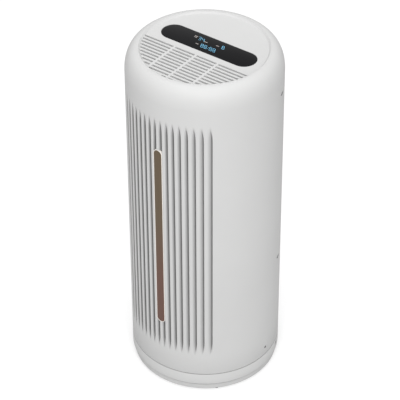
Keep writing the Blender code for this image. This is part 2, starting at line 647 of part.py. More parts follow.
def make_display():
    flat_capsule("display_lens", DISPLAY_LENGTH, DISPLAY_WIDTH, PANEL_Z - LENS_THICK, PANEL_Z, GLOSS_BLACK)
    under = PANEL_Z - PANEL_THICK - GAP
    carrier = flat_capsule("display_carrier", DISPLAY_LENGTH, DISPLAY_WIDTH, CARRIER_Z, under, GREY)
    boolean(carrier, flat_capsule("carrier_hollow_cutter", DISPLAY_LENGTH - 2 * CARRIER_WALL,
                                  DISPLAY_WIDTH - 2 * CARRIER_WALL, CARRIER_Z + CARRIER_WALL,
                                  under + 5 * MM, None, True))
    stand_top = CARRIER_Z + CARRIER_WALL + BOARD_LIFT
    stands = [((x - 3 * MM, DISPLAY_CENTRE_Y - 8 * MM, CARRIER_Z + 1 * MM),
               (x + 3 * MM, DISPLAY_CENTRE_Y + 8 * MM, stand_top))
              for x in (-BOARD_LENGTH / 2 + 6 * MM, BOARD_LENGTH / 2 - 6 * MM)]
    boolean(carrier, blocks("board_stand_guide", stands), "UNION")
    board_low = stand_top + GAP
    half_x, half_y = BOARD_LENGTH / 2, BOARD_WIDTH / 2
    block("display_board", (-half_x, DISPLAY_CENTRE_Y - half_y, board_low),
          (half_x, DISPLAY_CENTRE_Y + half_y, board_low + BOARD_THICK), BOARD)
    guide_low = board_low + BOARD_THICK + GAP
    guide = block("display_light_guide", (-GUIDE_LENGTH / 2, DISPLAY_CENTRE_Y - GUIDE_WIDTH / 2, guide_low),
                  (GUIDE_LENGTH / 2, DISPLAY_CENTRE_Y + GUIDE_WIDTH / 2, PANEL_Z - LENS_THICK - GAP), BLACK)
    tall = (GUIDE_WIDTH - 2 * GUIDE_EDGE - GUIDE_RIB) / 2
    wells = []
    for x, width, row in DIGIT_WELLS:
        y = DISPLAY_CENTRE_Y + row * (tall + GUIDE_RIB) / 2
        wells.append(((x - width / 2, y - tall / 2, guide_low + 1 * MM),
                      (x + width / 2, y + tall / 2, PANEL_Z + 5 * MM)))
    boolean(guide, blocks("digit_well_cutter", wells))


# ---- base ---------------------------------------------------------------------------------
def around(count, start_deg=0.0):
    return [start_deg + 360 * i / count for i in range(count)]


def make_base():
    inner = SPIGOT_R - SPIGOT_WALL
    top = SPIGOT_TOP_Z
    skirt = BODY_R - BASE_WALL
    points = [(0.0, BASE_FLOOR_Z), (inner, BASE_FLOOR_Z), (inner, top), (SPIGOT_R, top),
              (SPIGOT_R, BASE_FLOOR_Z), (skirt, BASE_FLOOR_Z), (skirt, BASE_SEAM_Z),
              (BODY_R, BASE_SEAM_Z), (BODY_R, FOOT_SEAM_Z + 1.5 * MM), (BODY_R - 1.5 * MM, FOOT_SEAM_Z),
              (0.0, FOOT_SEAM_Z)]
    base = turned("base_cover", points, WHITE, False)
    lug_top = top - 0.5 * MM
    lug = ((-LUG_WIDTH / 2, -SPIGOT_R - LUG_REACH, lug_top - LUG_THICK),
           (LUG_WIDTH / 2, -SPIGOT_R + 1.2 * MM, lug_top))
    lugs = blocks("lug_guide", [lug] * TWIST_LUGS, None, True, around(TWIST_LUGS, LUG_AZIMUTH_DEG))
    boolean(base, lugs, "UNION")
    rib = ((-2 * MM, -FILTER_R + 6 * MM, BASE_FLOOR_Z - 1 * MM), (2 * MM, -24 * MM, FILTER_Z - GAP))
    boolean(base, blocks("floor_rib_guide", [rib] * 3, None, True, around(3, 15)), "UNION")
    mark = ((-MARK_WIDTH / 2, -BODY_R - 5 * MM, MARK_Z - MARK_HEIGHT / 2),
            (MARK_WIDTH / 2, -BODY_R + MARK_DEPTH, MARK_Z + MARK_HEIGHT / 2))
    boolean(base, blocks("turn_mark_cutter", [mark] * 2, None, True, (MARK_AZIMUTH_DEG, -MARK_AZIMUTH_DEG)))
    holes = [on_wall(angle, FOOT_SCREW_R) for angle in around(FOOT_SCREWS, FOOT_SCREW_AZIMUTH_DEG)]
    boolean(base, rods("foot_screw_hole", holes, FOOT_SHANK_R + GAP, FOOT_SEAM_Z - 2 * MM,
                       BASE_FLOOR_Z - 0.6 * MM))
    return base


def make_foot():
    inner = FOOT_R - FOOT_WIDTH
    low = PAD_PROUD
    points = [(FOOT_R, FOOT_TOP_Z), (FOOT_R, low + 1.5 * MM), (FOOT_R - 1.5 * MM, low), (inner, low),
              (inner, FOOT_SEAM_Z - GAP), (FOOT_SPACER_R, FOOT_SEAM_Z - GAP), (FOOT_SPACER_R, FOOT_TOP_Z)]
    foot = turned("foot_ring", points, WHITE)
    pads = [on_wall(angle, FOOT_R - FOOT_WIDTH / 2) for angle in around(PAD_COUNT, 45)]
    boolean(foot, rods("pad_pocket_cutter", pads, PAD_R + GAP, -5 * MM, PAD_THICK + GAP, 16))
    for index, (x, y) in enumerate(pads):
        pad = disc(f"foot_pad_{index + 1}", PAD_R, 0.0, PAD_THICK, RUBBER, 16)
        pad.location = (x, y, 0.0)
    screws = [on_wall(angle, FOOT_SCREW_R) for angle in around(FOOT_SCREWS, FOOT_SCREW_AZIMUTH_DEG)]
    boolean(foot, rods("foot_head_cutter", screws, FOOT_HEAD_R + GAP, -5 * MM, FOOT_SEAT_Z))
    boolean(foot, rods("foot_shank_cutter", screws, FOOT_SHANK_R + GAP, -5 * MM, 30 * MM))
    length = BASE_FLOOR_Z - 1.2 * MM - FOOT_SEAT_Z + GAP
    for index, (x, y) in enumerate(screws):
        made = screw(f"foot_screw_{index + 1}", FOOT_HEAD_R, 1.6 * MM, FOOT_SHANK_R, length)
        made.rotation_euler = (math.radians(180), 0, 0)
        made.location = (x, y, FOOT_SEAT_Z - GAP + length)


# ---- chassis and filter -------------------------------------------------------------------
def make_chassis():
    """Twist-lock ring, web, three posts and the ring under the fan plate, as one moulding."""
    ledge_low = SHELL_Z + 0.7 * MM
    ledge_top = SPIGOT_TOP_Z - 0.5 * MM - LUG_THICK - 0.6 * MM
    ledge_in = SPIGOT_R + 0.6 * MM
    ledge_out = BODY_R - SHELL_WALL - 0.6 * MM
    chassis = ring("chassis", ledge_out, ledge_in, ledge_low, ledge_top, GREY)
    free = around(TWIST_LUGS, LUG_AZIMUTH_DEG + TWIST_DEG)
    notch = ((-LUG_WIDTH / 2 - 1 * MM, -BODY_R + SHELL_WALL + 1.6 * MM, 0.0),
             (LUG_WIDTH / 2 + 1 * MM, -SPIGOT_R + 10 * MM, ledge_top + 0.3 * MM))
    boolean(chassis, blocks("lug_notch_cutter", [notch] * TWIST_LUGS, None, True, free))
    web_top = WEB_Z + WEB_THICK
    web = ring("web_guide", ledge_out, POST_IN_R, WEB_Z, web_top, None, cutter=True)
    posts = around(3, POST_AZIMUTH_DEG)
    upright = ((-5 * MM, -ledge_out + 0.4 * MM, ledge_low + 1 * MM),
               (5 * MM, -ledge_in - 0.4 * MM, web_top - 1 * MM))
    boolean(chassis, web, "UNION")
    boolean(chassis, blocks("upright_guide", [upright] * 3, None, True, posts), "UNION")
    head_low = PLATE_Z - GAP - 4 * MM
    post = ((-5 * MM, -POST_IN_R - POST_THICK, WEB_Z + 1 * MM),
            (5 * MM, -POST_IN_R - 0.2 * MM, head_low + 2 * MM))
    boolean(chassis, blocks("post_guide", [post] * 3, None, True, posts), "UNION")
    head = ring("head_guide", CHASSIS_R, POST_IN_R, head_low, PLATE_Z - GAP, None, cutter=True)
    boolean(chassis, head, "UNION")
    seat = ((-SENSOR_WIDTH / 2 - GAP, -BODY_R, WEB_Z - 0.5 * MM),
            (SENSOR_WIDTH / 2 + GAP, -POST_IN_R + 5 * MM, web_top + 0.5 * MM))
    boolean(chassis, blocks("sensor_seat_cutter", [seat], None, True, [SENSOR_AZIMUTH_DEG]))
    return chassis


def pleats(outer, inner, count):
    """Outline of pleated media: a zigzag between two radii."""
    points = []
    for i in range(2 * count):
        angle = math.pi * i / count
        radius = outer if i % 2 == 0 else inner
        points.append((radius * math.cos(angle), radius * math.sin(angle)))
    return points


def make_filter():
    low = FILTER_Z + FILTER_CAP + GAP
    high = FILTER_TOP_Z - FILTER_CAP - GAP
    cap = disc("filter_bottom_cap", FILTER_R, FILTER_Z, FILTER_Z + FILTER_CAP, BLACK, FAN_STEPS)
    grips = [((-22 * MM, 5 * MM, 0.0), (22 * MM, 22 * MM, FILTER_Z + 6 * MM)),
             ((-22 * MM, -22 * MM, 0.0), (22 * MM, -5 * MM, FILTER_Z + 6 * MM))]
    boolean(cap, blocks("filter_grip_cutter", grips))
    ring("filter_top_cap", FILTER_R, FILTER_BORE_R, FILTER_TOP_Z - FILTER_CAP, FILTER_TOP_Z, BLACK,
         FAN_STEPS)
    carbon_r = FILTER_BORE_R + CARBON_WALL
    folds = pleats(FILTER_R - PREFILTER_WALL - 1 * MM, carbon_r + 6 * MM, FILTER_PLEATS)
    media = plate("filter_media", [folds, circle(carbon_r + 1 * MM, FAN_STEPS)], high - low, PAPER)
    media.location = (0.0, 0.0, (low + high) / 2)
    to_mesh(media)
    ring("prefilter_sleeve", FILTER_R, FILTER_R - PREFILTER_WALL, low, high, MESH, FAN_STEPS)
    ring("carbon_sleeve", carbon_r, FILTER_BORE_R, low, high, CARBON, FAN_STEPS)
    ring("filter_seal", FILTER_R - 6 * MM, FILTER_BORE_R + 4 * MM, FILTER_TOP_Z + GAP,
         FILTER_TOP_Z + GAP + SEAL_THICK, RUBBER, FAN_STEPS)
    ring("inlet_plate", CHASSIS_R, FILTER_BORE_R, PLATE_Z, PLATE_Z + PLATE_THICK, GREY)


# ---- fan ----------------------------------------------------------------------------------
def blade_cutter(name, count, inner, outer, low, high, thick, lean_deg, sweep=5):
    """Curved upright blades between two radii, as separate solids in one mesh."""
    shape = bmesh.new()
    for index in range(count):
        start = 2 * math.pi * index / count
        middle = []
        for i in range(sweep):
            share = i / (sweep - 1)
            radius = inner + (outer - inner) * share
            angle = start + math.radians(lean_deg) * share
            middle.append((Vector((radius * math.cos(angle), radius * math.sin(angle))), angle))
        left = []
        right = []
        for i, (spot, angle) in enumerate(middle):
            ahead = middle[min(i + 1, sweep - 1)][0] - middle[max(i - 1, 0)][0]
            side = Vector((-ahead.y, ahead.x)).normalized() * thick / 2
            left.append(spot + side)
            right.append(spot - side)
        outline = [shape.verts.new((p.x, p.y, low)) for p in right + left[::-1]]
        face = shape.faces.new(outline)
        raised = bmesh.ops.extrude_face_region(shape, geom=[face])["geom"]
        bmesh.ops.translate(shape, vec=(0, 0, high - low),
                            verts=[v for v in raised if isinstance(v, bmesh.types.BMVert)])
    bmesh.ops.recalc_face_normals(shape, faces=shape.faces)
    mesh = bpy.data.meshes.new(name)
    shape.to_mesh(mesh)
    shape.free()
    return add(name, mesh, None, True)


def make_fan():
    back_low = FAN_Z + FAN_HEIGHT - BACKPLATE
    cup_low = FAN_Z + CUP_RAISE
    cup_in = FAN_HUB_R - CUP_WALL
    points = [(0.0, cup_low + CUP_WALL), (cup_in, cup_low + CUP_WALL), (cup_in, back_low + BACKPLATE),
              (FAN_R, back_low + BACKPLATE), (FAN_R, back_low), (FAN_HUB_R, back_low),
              (FAN_HUB_R, cup_low + 3 * MM), (FAN_HUB_R - 3 * MM, cup_low), (0.0, cup_low)]
    fan = turned("impeller", points, GREY, False, FAN_STEPS)
    boolean(fan, blade_cutter("blade_guide", FAN_BLADES, FAN_HUB_R + 8 * MM, FAN_R - 1 * MM,
                              FAN_Z + 1 * MM, back_low + 1 * MM, 2 * MM, -42), "UNION")
    shroud = ring("shroud_guide", FAN_R, FILTER_BORE_R + 4 * MM, FAN_Z, FAN_Z + 2.4 * MM, None, FAN_STEPS,
                  True)
    boolean(fan, shroud, "UNION")
    rotor_r = cup_in - GAP
    rotor_low = cup_low + CUP_WALL + GAP
    rotor_top = back_low - 6 * MM
    ring_in = SHAFT_R + GAP
    rotor = [(rotor_r, rotor_top), (rotor_r, rotor_low), (ring_in, rotor_low), (ring_in, rotor_low + 2 * MM),
             (rotor_r - 2 * MM, rotor_low + 2 * MM), (rotor_r - 2 * MM, rotor_top)]
    turned("motor_rotor", rotor, STEEL, True, FAN_STEPS)
    shaft_top = MOUNT_Z + HUB_PLATE_RAISE + 2 * MM
    disc("motor_shaft", SHAFT_R, rotor_low + GAP, shaft_top, STEEL, SMALL_STEPS)
    sleeve_in = BEARING_R + GAP
    stator_in = sleeve_in + SLEEVE_WALL + GAP
    stator = ring("motor_stator", rotor_r - 2 * MM - 1 * MM, stator_in, rotor_low + 6 * MM, rotor_top - 4 * MM,
                  COPPER, FAN_STEPS)
    gaps = [((-1.4 * MM, -40 * MM, 0.0), (1.4 * MM, -stator_in - 3.5 * MM, BODY_H))] * 9
    boolean(stator, blocks("winding_gap_cutter", gaps, None, True, around(9)))
    lower = rotor_low + 7 * MM
    upper = MOUNT_Z + HUB_PLATE_RAISE - BEARING_HEIGHT - 1 * MM
    for name, z in (("bearing_lower", lower), ("bearing_upper", upper)):
        ring(name, BEARING_R, SHAFT_R + GAP, z, z + BEARING_HEIGHT, STEEL, SMALL_STEPS)
    make_mount(sleeve_in, lower - 2 * MM)


def mount_places(radius=None):
    reach = HOUSING_R + EAR_REACH if radius is None else radius
    return [on_wall(angle, reach) for angle in around(3, EAR_AZIMUTH_DEG)]


def make_mount(sleeve_in, sleeve_low):
    """Motor mount: hub plate with the bearing sleeve, straightening vanes and the outer ring."""
    inside = HOUSING_R - MOUNT_WALL
    mount = ring("motor_mount", HOUSING_R, inside, MOUNT_Z + GAP, MOUNT_Z + MOUNT_HEIGHT, GREY)
    plate_low = MOUNT_Z + HUB_PLATE_RAISE - 1 * MM
    sleeve_out = sleeve_in + SLEEVE_WALL
    hub = [(FAN_HUB_R + 2 * MM, plate_low + 5 * MM), (FAN_HUB_R + 2 * MM, plate_low), (sleeve_out, plate_low),
           (sleeve_out, sleeve_low), (sleeve_in, sleeve_low), (sleeve_in, plate_low + 5 * MM)]
    boolean(mount, turned("hub_guide", hub, None, True, FAN_STEPS, True), "UNION")
    boolean(mount, blade_cutter("vane_guide", 7, FAN_HUB_R - 1 * MM, inside + 1 * MM, plate_low + 1 * MM,
                                MOUNT_Z + MOUNT_HEIGHT - 1 * MM, 2 * MM, 16, 4), "UNION")
    boolean(mount, rods("ear_guide", mount_places(), EAR_R, MOUNT_Z + GAP, MOUNT_Z + EAR_THICK), "UNION")
    hole_r = MOUNT_SHANK_R + GAP
    boolean(mount, rods("ear_hole", mount_places(), hole_r, MOUNT_Z - 5 * MM, MOUNT_Z + 30 * MM))
    clear = disc("mount_bore_guide", inside - 0.5 * MM, 0.0, BODY_H, None, STEPS, True)
    housing = ring("fan_housing", HOUSING_R, HOUSING_R - HOUSING_WALL, PLATE_Z + PLATE_THICK + GAP, MOUNT_Z,
                   GREY)
    bosses = rods("housing_boss_guide", mount_places(), EAR_R, MOUNT_Z - 16 * MM, MOUNT_Z)
    boolean(bosses, clear)
    boolean(housing, bosses, "UNION")
    boolean(housing, rods("housing_hole", mount_places(), hole_r, MOUNT_Z - 13 * MM, MOUNT_Z + 5 * MM))
    length = EAR_THICK + 12 * MM + GAP
    for index, (x, y) in enumerate(mount_places()):
        made = screw(f"mount_screw_{index + 1}", 2.8 * MM, 1.8 * MM, MOUNT_SHANK_R, length)
        made.location = (x, y, MOUNT_Z + EAR_THICK + GAP - length)


def make_guard():
    inside = HOUSING_R - MOUNT_WALL
    guard = ring("fan_guard", HOUSING_R, inside, GUARD_Z, GUARD_Z + GUARD_THICK, BLACK)
    spoke = ((-1 * MM, -inside - 1 * MM, GUARD_Z + 0.3 * MM),
             (1 * MM, -10 * MM, GUARD_Z + GUARD_THICK - 0.3 * MM))
    boolean(guard, blocks("spoke_guide", [spoke] * 6, None, True, around(6, 10)), "UNION")
    for index, radius in enumerate((20 * MM, HOUSING_R - 38 * MM)):
        hoop = ring(f"hoop_guide_{index}", radius + 1 * MM, radius - 1 * MM, GUARD_Z + 0.1 * MM,
                    GUARD_Z + GUARD_THICK - 0.1 * MM, None, 24, True)
        boolean(guard, hoop, "UNION")


def make_duct():
    """Duct from the fan to the front of the top panel; a sloping back wall turns the air forwards."""
    low = GUARD_Z + GUARD_THICK + GAP
    top = LEDGE_Z
    duct = disc("outlet_duct", HOUSING_R, low, top, GREY, STEPS)
    slope = math.atan(DUCT_SLOPE)

    def above_slope(name, shift):
        half = 200 * MM
        wedge = block(name, (-half, -half, 0.0), (half, half, half), None, cutter=True)
        wedge.location = (0.0, 0.0, 0.0)
        wedge.rotation_euler = (-slope, 0.0, 0.0)
        lift = Vector((0.0, math.sin(slope), math.cos(slope)))
        middle = Vector((0.0, (HOUSING_R + DUCT_FRONT_Y) / 2, (DUCT_BACK_Z + top) / 2))
        wedge.location = middle + lift * (half / 2 - shift)
        return wedge

    hollow = disc("duct_hollow_cutter", HOUSING_R - HOUSING_WALL, low - 10 * MM, top + 10 * MM, None, STEPS,
                  True)
    boolean(hollow, above_slope("slope_inner_cutter", HOUSING_WALL))
    boolean(duct, above_slope("slope_outer_cutter", 0.0))
    boolean(duct, hollow)
    return duct


# ---- electrics ----------------------------------------------------------------------------
def make_electrics():
    half = POWER_WIDTH / 2
    wall = 2 * MM
    box = block("power_box", (-half, POWER_BACK_Y - POWER_DEPTH, POWER_Z),
                (half, POWER_BACK_Y, POWER_Z + POWER_HEIGHT), GREY)
    hollow = block("power_hollow_cutter", (-half + wall, POWER_BACK_Y - POWER_DEPTH + wall, POWER_Z + wall),
                   (half - wall, POWER_BACK_Y - wall, POWER_Z + POWER_HEIGHT + 5 * MM), None, cutter=True)
    boolean(box, hollow)
    board_y = POWER_BACK_Y - wall - 5 * MM
    ledges = [((side * (half - 5 * MM) - 3 * MM, board_y, POWER_Z + 6 * MM),
               (side * (half - 5 * MM) + 3 * MM, POWER_BACK_Y - 1 * MM, POWER_Z + POWER_HEIGHT - 8 * MM))
              for side in (1, -1)]
    boolean(box, blocks("power_ledge_guide", ledges), "UNION")
    board = block("power_board", (-half + wall + GAP, board_y - GAP - BOARD_THICK, POWER_Z + wall + GAP),
                  (half - wall - GAP, board_y - GAP, POWER_Z + POWER_HEIGHT - 2 * MM), BOARD)
    behind = board_y - 1 * MM
    cans = [((-18 * MM, board_y - 22 * MM, POWER_Z + 8 * MM), (4 * MM, behind, POWER_Z + 28 * MM)),
            ((10 * MM, board_y - 16 * MM, POWER_Z + 14 * MM), (22 * MM, behind, POWER_Z + 40 * MM))]
    boolean(board, blocks("component_guide", cans), "UNION")
    inlet = block("mains_inlet", (-SOCKET_WIDTH / 2, SOCKET_BACK_Y, SOCKET_Z - SOCKET_HEIGHT / 2),
                  (SOCKET_WIDTH / 2, BODY_R - 1.2 * MM, SOCKET_Z + SOCKET_HEIGHT / 2), BLACK)
    opening = capsule(SOCKET_WIDTH - 8 * MM, SOCKET_HEIGHT - 6 * MM)
    cavity = plate("socket_cavity_cutter", [opening], 26 * MM, None, True)
    cavity.rotation_euler = (math.radians(90), 0, 0)
    cavity.location = (0, SOCKET_BACK_Y + 3 * MM + 13 * MM, SOCKET_Z)
    boolean(inlet, to_mesh(cavity))
    pins = rods("socket_pin_guide", [(-4.3 * MM, SOCKET_Z), (4.3 * MM, SOCKET_Z)], 1.2 * MM,
                SOCKET_BACK_Y + 2 * MM, SOCKET_BACK_Y + 12 * MM, 12, "Y")
    boolean(inlet, pins, "UNION")
    low = SENSOR_Z - SENSOR_DROP
    front = -CHASSIS_R + 0.6 * MM
    case = ((-SENSOR_WIDTH / 2, front, low), (SENSOR_WIDTH / 2, front + SENSOR_DEPTH, low + SENSOR_HEIGHT))
    sensor = blocks("air_sensor", [case], BLACK, False, [SENSOR_AZIMUTH_DEG])
    bore = rods("sensor_bore_cutter", [(0, SENSOR_Z)], VENT_R, -BODY_R, front + 5.4 * MM, SMALL_STEPS, "Y")
    bore.rotation_euler = (0, 0, math.radians(SENSOR_AZIMUTH_DEG))
    boolean(sensor, bore)


def main():
    make_front_shell()
    make_rear_shell()
    make_rear_screws()
    make_strip()
    make_top_panel()
    make_display()
    make_base()
    make_foot()
    make_chassis()
    make_filter()
    make_fan()
    make_guard()
    make_duct()
    make_electrics()


main()
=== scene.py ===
"""Tower air purifier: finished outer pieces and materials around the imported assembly."""

import math

import bmesh
import bpy
from bpy.props import FloatProperty, FloatVectorProperty, IntProperty, PointerProperty
from mathutils import Matrix, Vector


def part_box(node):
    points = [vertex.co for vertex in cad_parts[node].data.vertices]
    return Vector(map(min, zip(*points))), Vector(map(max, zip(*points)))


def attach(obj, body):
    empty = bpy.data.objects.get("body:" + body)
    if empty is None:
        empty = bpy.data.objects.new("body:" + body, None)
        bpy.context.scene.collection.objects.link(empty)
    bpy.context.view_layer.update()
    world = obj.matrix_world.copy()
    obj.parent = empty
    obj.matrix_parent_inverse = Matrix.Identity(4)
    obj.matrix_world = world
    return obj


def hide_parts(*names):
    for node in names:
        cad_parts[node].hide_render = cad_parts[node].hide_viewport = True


bl_info = {
    "name": "Tower Air Purifier",
    "version": (1, 0, 0),
    "blender": (4, 5, 0),
    "location": "View3D > Sidebar > Purifier",
    "description": "Builds the finished pieces of a fluted tower air purifier around its assembly",
    "category": "Add Mesh",
}

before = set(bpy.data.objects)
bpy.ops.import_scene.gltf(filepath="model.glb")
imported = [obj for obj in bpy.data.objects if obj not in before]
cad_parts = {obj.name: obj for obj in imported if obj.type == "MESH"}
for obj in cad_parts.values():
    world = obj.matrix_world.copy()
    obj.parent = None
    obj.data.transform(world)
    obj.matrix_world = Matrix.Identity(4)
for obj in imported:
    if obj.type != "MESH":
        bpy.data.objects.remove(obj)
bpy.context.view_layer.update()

MM = 0.001

# ---- places taken from the assembly -------------------------------------------------------
SHELL_LOW, SHELL_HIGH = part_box("front_shell")
PANEL_LOW, PANEL_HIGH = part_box("top_panel")
LENS_LOW, LENS_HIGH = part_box("display_lens")
BEZEL_LOW, BEZEL_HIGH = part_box("strip_bezel")
STRIP_LOW, STRIP_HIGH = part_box("accent_strip")
BASE_LOW, BASE_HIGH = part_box("base_cover")
FOOT_LOW, FOOT_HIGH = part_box("foot_ring")
SOCKET_LOW, SOCKET_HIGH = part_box("mains_inlet")

BODY_R = SHELL_HIGH.x
BODY_H = SHELL_HIGH.z
SHELL_Z = SHELL_LOW.z
BASE_Z = BASE_LOW.z
BASE_SEAM_Z = SHELL_Z - 0.3 * MM
FOOT_R = FOOT_HIGH.x
FLAT_Z = LENS_HIGH.z         # flat of the top panel
RIM_R = BODY_R - 19 * MM     # the shoulder starts to fall here
LIP_R = RIM_R - 0.7 * MM     # inner edge of the rim
LIP_Z = BODY_H - 5.8 * MM    # the lip reaches down to here
PANEL_R = LIP_R - 0.03 * MM
SHOULDER_FALL = 33.5 * MM
SHOULDER_POWER = 2.15
PART_GAP = 0.04 * MM         # half of the gap along the upright parting line
EDGE = 0.55 * MM             # broken edge at every seam
VENT_R = 2.3 * MM            # the air sensor's hole
SENSOR_DROP = 3.4 * MM       # from that hole's axis to the underside of the sensor
WELL_R = 2.2 * MM            # wells of the rear screws
WELL_WALL = 1.3 * MM
SEAT_Y = 26 * MM             # the rear screws' heads rest here
INLET_SLOT_WIDTH = 3.2 * MM  # inlet slots of the rear shell, in two rows
INLET_SLOT_PITCH = 7.4 * MM
INLET_SLOT_LENGTH = 98 * MM
INLET_SLOT_COUNT = 21
INLET_TOP_Z = 278 * MM
INLET_BRIDGE = 8 * MM        # plain wall between the two rows
SPIGOT_R = 101.2 * MM        # ring of the base that goes up into the shells
SPIGOT_BORE_R = 98 * MM
LUG_AZIMUTHS = (80, 200, 320)
MARK_AZIMUTHS = (110, -110)  # notches on the base that show how far it is turned
MARK_WIDTH = 9 * MM
MARK_HEIGHT = 3.8 * MM
MARK_DEPTH = 1.6 * MM
MARK_DROP = 8.2 * MM         # from the seam to the middle of a notch
FULL_ROUND = 0.999           # share of the half width that a fully rounded end takes
SKIN = 0.1 * MM              # the recess shade starts this far below the outer skin
DIGIT_WIDTH = 4.0 * MM
UPPER_ROW = (16.0 * MM, 7.2 * MM)   # middle and height of the digits in a row
LOWER_ROW = (3.3 * MM, 7.6 * MM)
PRINT_Z = FLAT_Z + 0.01 * MM        # the digits and marks start here
DIGIT_TOP_Z = FLAT_Z + 0.06 * MM
MARK_TOP_Z = FLAT_Z + 0.05 * MM

# ---- camera and lights --------------------------------------------------------------------
CAMERA_PLACE = (1.2954, -1.7835, 1.9896)
CAMERA_HEADING = 0.6315      # radians, from looking along +Y
CAMERA_DIP = 0.6619          # radians below the horizon
CAMERA_ROLL = -0.0048
FOCAL_LENGTH = 174.44        # mm
SENSOR_WIDTH = 36.0          # mm
KEY_PLACE, KEY_SIZE = (1.6, -2.2, 2.4), 2.4
OVERHEAD_PLACE, OVERHEAD_SIZE = (0.0, 0.0, 3.4), 3.0
LIGHT_AIM = (0.0, 0.0, 0.3)


# ---- settings -----------------------------------------------------------------------------
class ShellSettings(bpy.types.PropertyGroup):
    """Sizes and colours of the two half shells."""
    flute_count: IntProperty(name="Flutes", description="Number of upright flutes", default=16, min=2)
    flute_pitch: FloatProperty(
        name="Flute pitch", description="Spacing of the flutes across the front", default=9.34 * MM,
        unit="LENGTH")
    flute_width: FloatProperty(
        name="Flute width", description="Width of one flute at the surface", default=6.4 * MM, unit="LENGTH")
    slit_width: FloatProperty(
        name="Slit width", description="Width of the narrow slit at the foot of a flute", default=1.1 * MM,
        unit="LENGTH")
    flute_depth: FloatProperty(
        name="Flute depth", description="Depth at which the slit starts", default=4.4 * MM, unit="LENGTH")
    slit_depth: FloatProperty(
        name="Slit depth", description="Whole depth of a flute with its slit", default=8.0 * MM,
        unit="LENGTH")
    flute_low: FloatProperty(
        name="Flute foot", description="Height at which the flutes start", default=66 * MM, unit="LENGTH")
    flute_high: FloatProperty(
        name="Flute head", description="Height at which the flutes end", default=481 * MM, unit="LENGTH")
    run_out: FloatProperty(
        name="Run-out", description="Length over which a flute fades", default=28 * MM, unit="LENGTH")
    wall: FloatProperty(name="Wall", description="Thickness of the shells", default=2.5 * MM, unit="LENGTH")
    colour: FloatVectorProperty(
        name="Colour", description="White of the shells", default=(0.60, 0.60, 0.597),
        subtype="COLOR", size=3)


class StripSettings(bpy.types.PropertyGroup):
    """Colours of the upright accent strip."""
    top_colour: FloatVectorProperty(
        name="Top colour", description="Bronze at the top", default=(0.150, 0.110, 0.070),
        subtype="COLOR", size=3)
    foot_colour: FloatVectorProperty(
        name="Foot colour", description="Bronze at the foot", default=(0.170, 0.088, 0.066),
        subtype="COLOR", size=3)
    bezel_colour: FloatVectorProperty(
        name="Bezel colour", description="Cream of the bezel", default=(0.92, 0.88, 0.83),
        subtype="COLOR", size=3)


class PanelSettings(bpy.types.PropertyGroup):
    """Sizes of the top panel's outlet."""
    rows: IntProperty(name="Rows", description="Rows of outlet slots", default=11, min=1)
    pitch: FloatProperty(
        name="Row pitch", description="Spacing of the rows", default=6.57 * MM, unit="LENGTH")
    slot_width: FloatProperty(
        name="Slot width", description="Width of a slot", default=3.3 * MM, unit="LENGTH")
    first_row: FloatProperty(
        name="First row", description="Distance from the axis to the first row", default=21 * MM,
        unit="LENGTH")
    rib: FloatProperty(name="Cross rib", description="Width of a cross rib", default=3.2 * MM, unit="LENGTH")
    rib_pitch: FloatProperty(
        name="Rib pitch", description="Spacing of the cross ribs", default=36 * MM, unit="LENGTH")


class DisplaySettings(bpy.types.PropertyGroup):
    """Colours of the display."""
    digit_colour: FloatVectorProperty(
        name="Digits", description="Colour of the lit digits", default=(0.16, 0.44, 0.64),
        subtype="COLOR", size=3)
    mark_colour: FloatVectorProperty(
        name="Marks", description="Colour of the small marks", default=(0.40, 0.37, 0.35),
        subtype="COLOR", size=3)
    slant: FloatProperty(name="Slant", description="Lean of the digits", default=-0.40)


class StageSettings(bpy.types.PropertyGroup):
    """Floor and lights."""
    floor_colour: FloatVectorProperty(
        name="Floor", description="Colour of the floor", default=(0.62, 0.62, 0.62), subtype="COLOR", size=3)
    floor_lift: FloatProperty(
        name="Floor lift", description="Added brightness of the floor as the camera sees it", default=0.42)
    sky: FloatProperty(name="Sky", description="Strength of the even surrounding light", default=0.655)
    key: FloatProperty(name="Key", description="Power of the large soft light", default=68.0)
    overhead: FloatProperty(name="Overhead", description="Power of the overhead light", default=35.0)


# ---- shader groups ------------------------------------------------------------------------
def new_group(name, inputs, outputs):
    """A shader group with named sockets; returns the tree with its two end nodes."""
    tree = bpy.data.node_groups.new(name, "ShaderNodeTree")
    for socket, kind, value in inputs:
        made = tree.interface.new_socket(name=socket, in_out="INPUT", socket_type=kind)
        made.default_value = value
    for socket, kind in outputs:
        tree.interface.new_socket(name=socket, in_out="OUTPUT", socket_type=kind)
    return tree, tree.nodes.new("NodeGroupInput"), tree.nodes.new("NodeGroupOutput")


def node(tree, kind, links=None, **values):
    """Adds a node, sets its properties, and fills its inputs from values or other sockets."""
    made = tree.nodes.new(kind)
    for key, value in values.items():
        setattr(made, key, value)
    for key, value in (links or {}).items():
        if isinstance(value, bpy.types.NodeSocket):
            tree.links.new(value, made.inputs[key])
        else:
            made.inputs[key].default_value = value
    return made


def remap(tree, value, low, high, out_low, out_high):
    """Maps one range to another, held at its ends."""
    made = node(tree, "ShaderNodeMapRange", {"Value": value, "From Min": low, "From Max": high,
                                             "To Min": out_low, "To Max": out_high})
    return made.outputs["Result"]


def blend_colours(tree, share, first, second):
    """Blends from the first colour to the second."""
    made = node(tree, "ShaderNodeMix", data_type="RGBA")
    for key, value in ((0, share), (6, first), (7, second)):
        if isinstance(value, bpy.types.NodeSocket):
            tree.links.new(value, made.inputs[key])
        else:
            made.inputs[key].default_value = value
    return made.outputs[2]


FLOAT, COLOUR, VECTOR = "NodeSocketFloat", "NodeSocketColor", "NodeSocketVector"
GREY = (0.5, 0.5, 0.5, 1.0)


